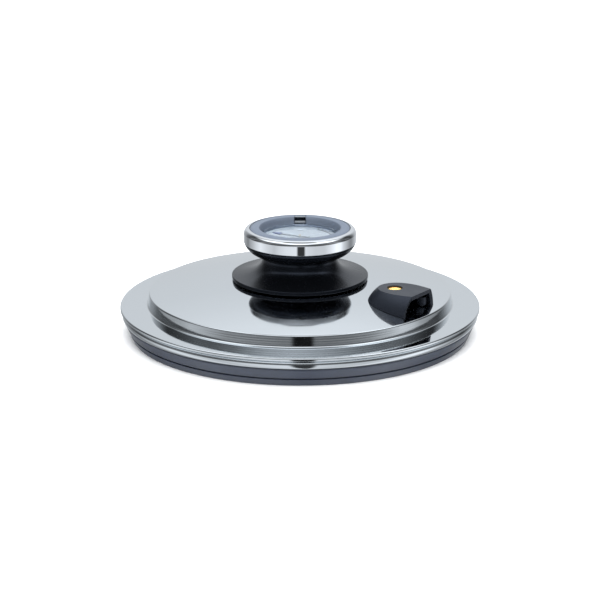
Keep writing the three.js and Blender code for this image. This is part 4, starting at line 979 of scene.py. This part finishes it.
def studio():
    """A pale floor, two soft boxes, and a world of bright and dark stretches for the steel to mirror.
    Heights have one curve straight behind the lid and another everywhere else. A narrow dark gap
    stands low in front."""
    floor_paint, _, _ = new_material("floor_paint", Base_Color=linear("#fbfbfb"), Roughness=0.95)
    floor = studio_plane("floor", 14, 14, floor_paint, Matrix.Translation((0, 3, 0)))
    floor.visible_glossy = False

    world = bpy.data.worlds.new("studio")
    bpy.context.scene.world = world
    world.use_nodes = True
    tree = world.node_tree
    direction = add(tree, "ShaderNodeTexCoord").outputs["Generated"]
    parts = add(tree, "ShaderNodeSeparateXYZ", {"Vector": direction}).outputs
    side = add(tree, "ShaderNodeMath", {0: parts["X"], 1: 0.035}, operation="SUBTRACT").outputs[0]
    front = add(tree, "ShaderNodeMath", {0: parts["Y"], 1: -1.0}, operation="MULTIPLY").outputs[0]
    turn = add(tree, "ShaderNodeMath", {0: side, 1: front}, operation="ARCTAN2").outputs[0]
    around = span(tree, turn, -math.pi, math.pi, 0, 1)
    walls = grey_ramp(tree, around, (
        (-180, 0.78), (-160, 0.74), (-150, 0.42), (-140, 0.35), (-131, 0.25), (-122, 0.42), (-111, 0.58),
        (-100, 0.8), (-88, 1.0), (-72, 0.8), (-55, 0.66), (-45, 0.78), (-30, 0.9), (-9, 0.95), (9, 0.85),
        (30, 0.72), (50, 0.72), (65, 0.95), (80, 1.25), (92, 1.15), (101, 0.75),
        (115, 0.45), (125, 0.28), (132, 0.3), (141, 0.45), (152, 0.62), (162, 0.76), (180, 0.78)), -180, 180)
    rise = span(tree, parts["Z"], -1, 1, 0, 1)
    behind = grey_ramp(tree, rise, (
        (-1, 0.95), (-0.1, 0.95), (0.1, 0.97), (0.37, 1.07), (0.48, 1.15), (0.56, 1.24), (0.63, 1.36),
        (0.7, 1.6), (0.74, 0.9), (0.79, 0.1), (1, 0.08)), -1, 1)
    before = grey_ramp(tree, rise, (
        (-1, 1.0), (-0.2, 1.0), (-0.16, 0.5), (-0.12, 0.7), (-0.08, 0.15), (0.0, 0.2), (0.1, 0.08),
        (0.18, 0.45), (0.24, 0.1), (0.31, 0.06), (0.38, 0.45),
        (0.44, 0.1), (0.56, 0.16), (0.62, 0.8), (0.68, 1.8), (0.93, 1.8), (0.96, 0.3), (1, 0.08)), -1, 1)
    facing = span(tree, front, -0.8, -0.55, 0.0, 1.0)
    heights = add(tree, "ShaderNodeMix", {0: facing, 2: behind, 3: before}).outputs[0]
    gap = grey_ramp(tree, around, (
        (-180, 1), (-9, 1), (-6.5, 0.05), (6.5, 0.05), (9, 1), (180, 1)), -180, 180)
    below = span(tree, parts["Z"], -0.04, 0.0, 0.0, 1.0)
    gap_low = add(tree, "ShaderNodeMix", {0: below, 2: gap, 3: 1.0}).outputs[0]
    room = add(tree, "ShaderNodeMath", {0: walls, 1: heights}, operation="MULTIPLY").outputs[0]
    light = add(tree, "ShaderNodeMath", {0: room, 1: gap_low}, operation="MULTIPLY").outputs[0]
    background = tree.nodes["Background"]
    background.inputs["Color"].default_value = linear("#f6fafe")
    tree.links.new(light, background.inputs["Strength"])

    front_box = area_light("front_softbox", 10, 0.9, 0.4, (0, -0.8, 1.15), (0, 0, 0.05))
    front_box.visible_glossy = False
    wash = area_light("floor_wash", 90, 3.0, 3.0, (0, 0.2, 2.2), (0, 0.2, 0))
    wash.visible_glossy = False


def grey_ramp(tree, share, stops, lowest, highest):
    """Brightness through (place, value) stops joined by straight lines, which may pass the curve's 1."""
    curve = add(tree, "ShaderNodeFloatCurve", {"Value": share})
    points = curve.mapping.curves[0].points
    peak = max(value for _, value in stops)
    while len(points) < len(stops):
        points.new(0.5, 0.5)
    for point, (place_at, value) in zip(points, stops):
        point.location = ((place_at - lowest) / (highest - lowest), value / peak)
        point.handle_type = "VECTOR"
    curve.mapping.update()
    return add(tree, "ShaderNodeMath", {0: curve.outputs[0], 1: peak}, operation="MULTIPLY").outputs[0]


def camera():
    """Looks along +Y and 17 degrees down, from 1.3 m."""
    distance, aim_height, elevation = 1.3, 0.0193, math.radians(16.98)
    lens = bpy.data.cameras.new("camera")
    lens.sensor_width = 36
    lens.lens = 130.13
    lens.clip_end = 50
    view = bpy.data.objects.new("camera", lens)
    aim = Vector((0, 0, aim_height))
    view.location = aim + distance * Vector((0, -math.cos(elevation), math.sin(elevation)))
    view.rotation_euler = (aim - view.location).to_track_quat("-Z", "Y").to_euler()
    bpy.context.scene.collection.objects.link(view)
    bpy.context.scene.camera = view
    bpy.context.scene.view_settings.view_transform = "Standard"


camera()
studio()
lid_dome()
carrier_ring()
seal_skirt()
heat_shield()
grip_bowl()
chrome_band()
bezel()
catch_strip()
dial_disc()
dial_marks()
dial_window()
pointer()
outlet_hood()
amber_button()
return_spring()
spatter_cup()
stud()
hood_screw(1)
hood_screw(2)
dress_kept_nodes()
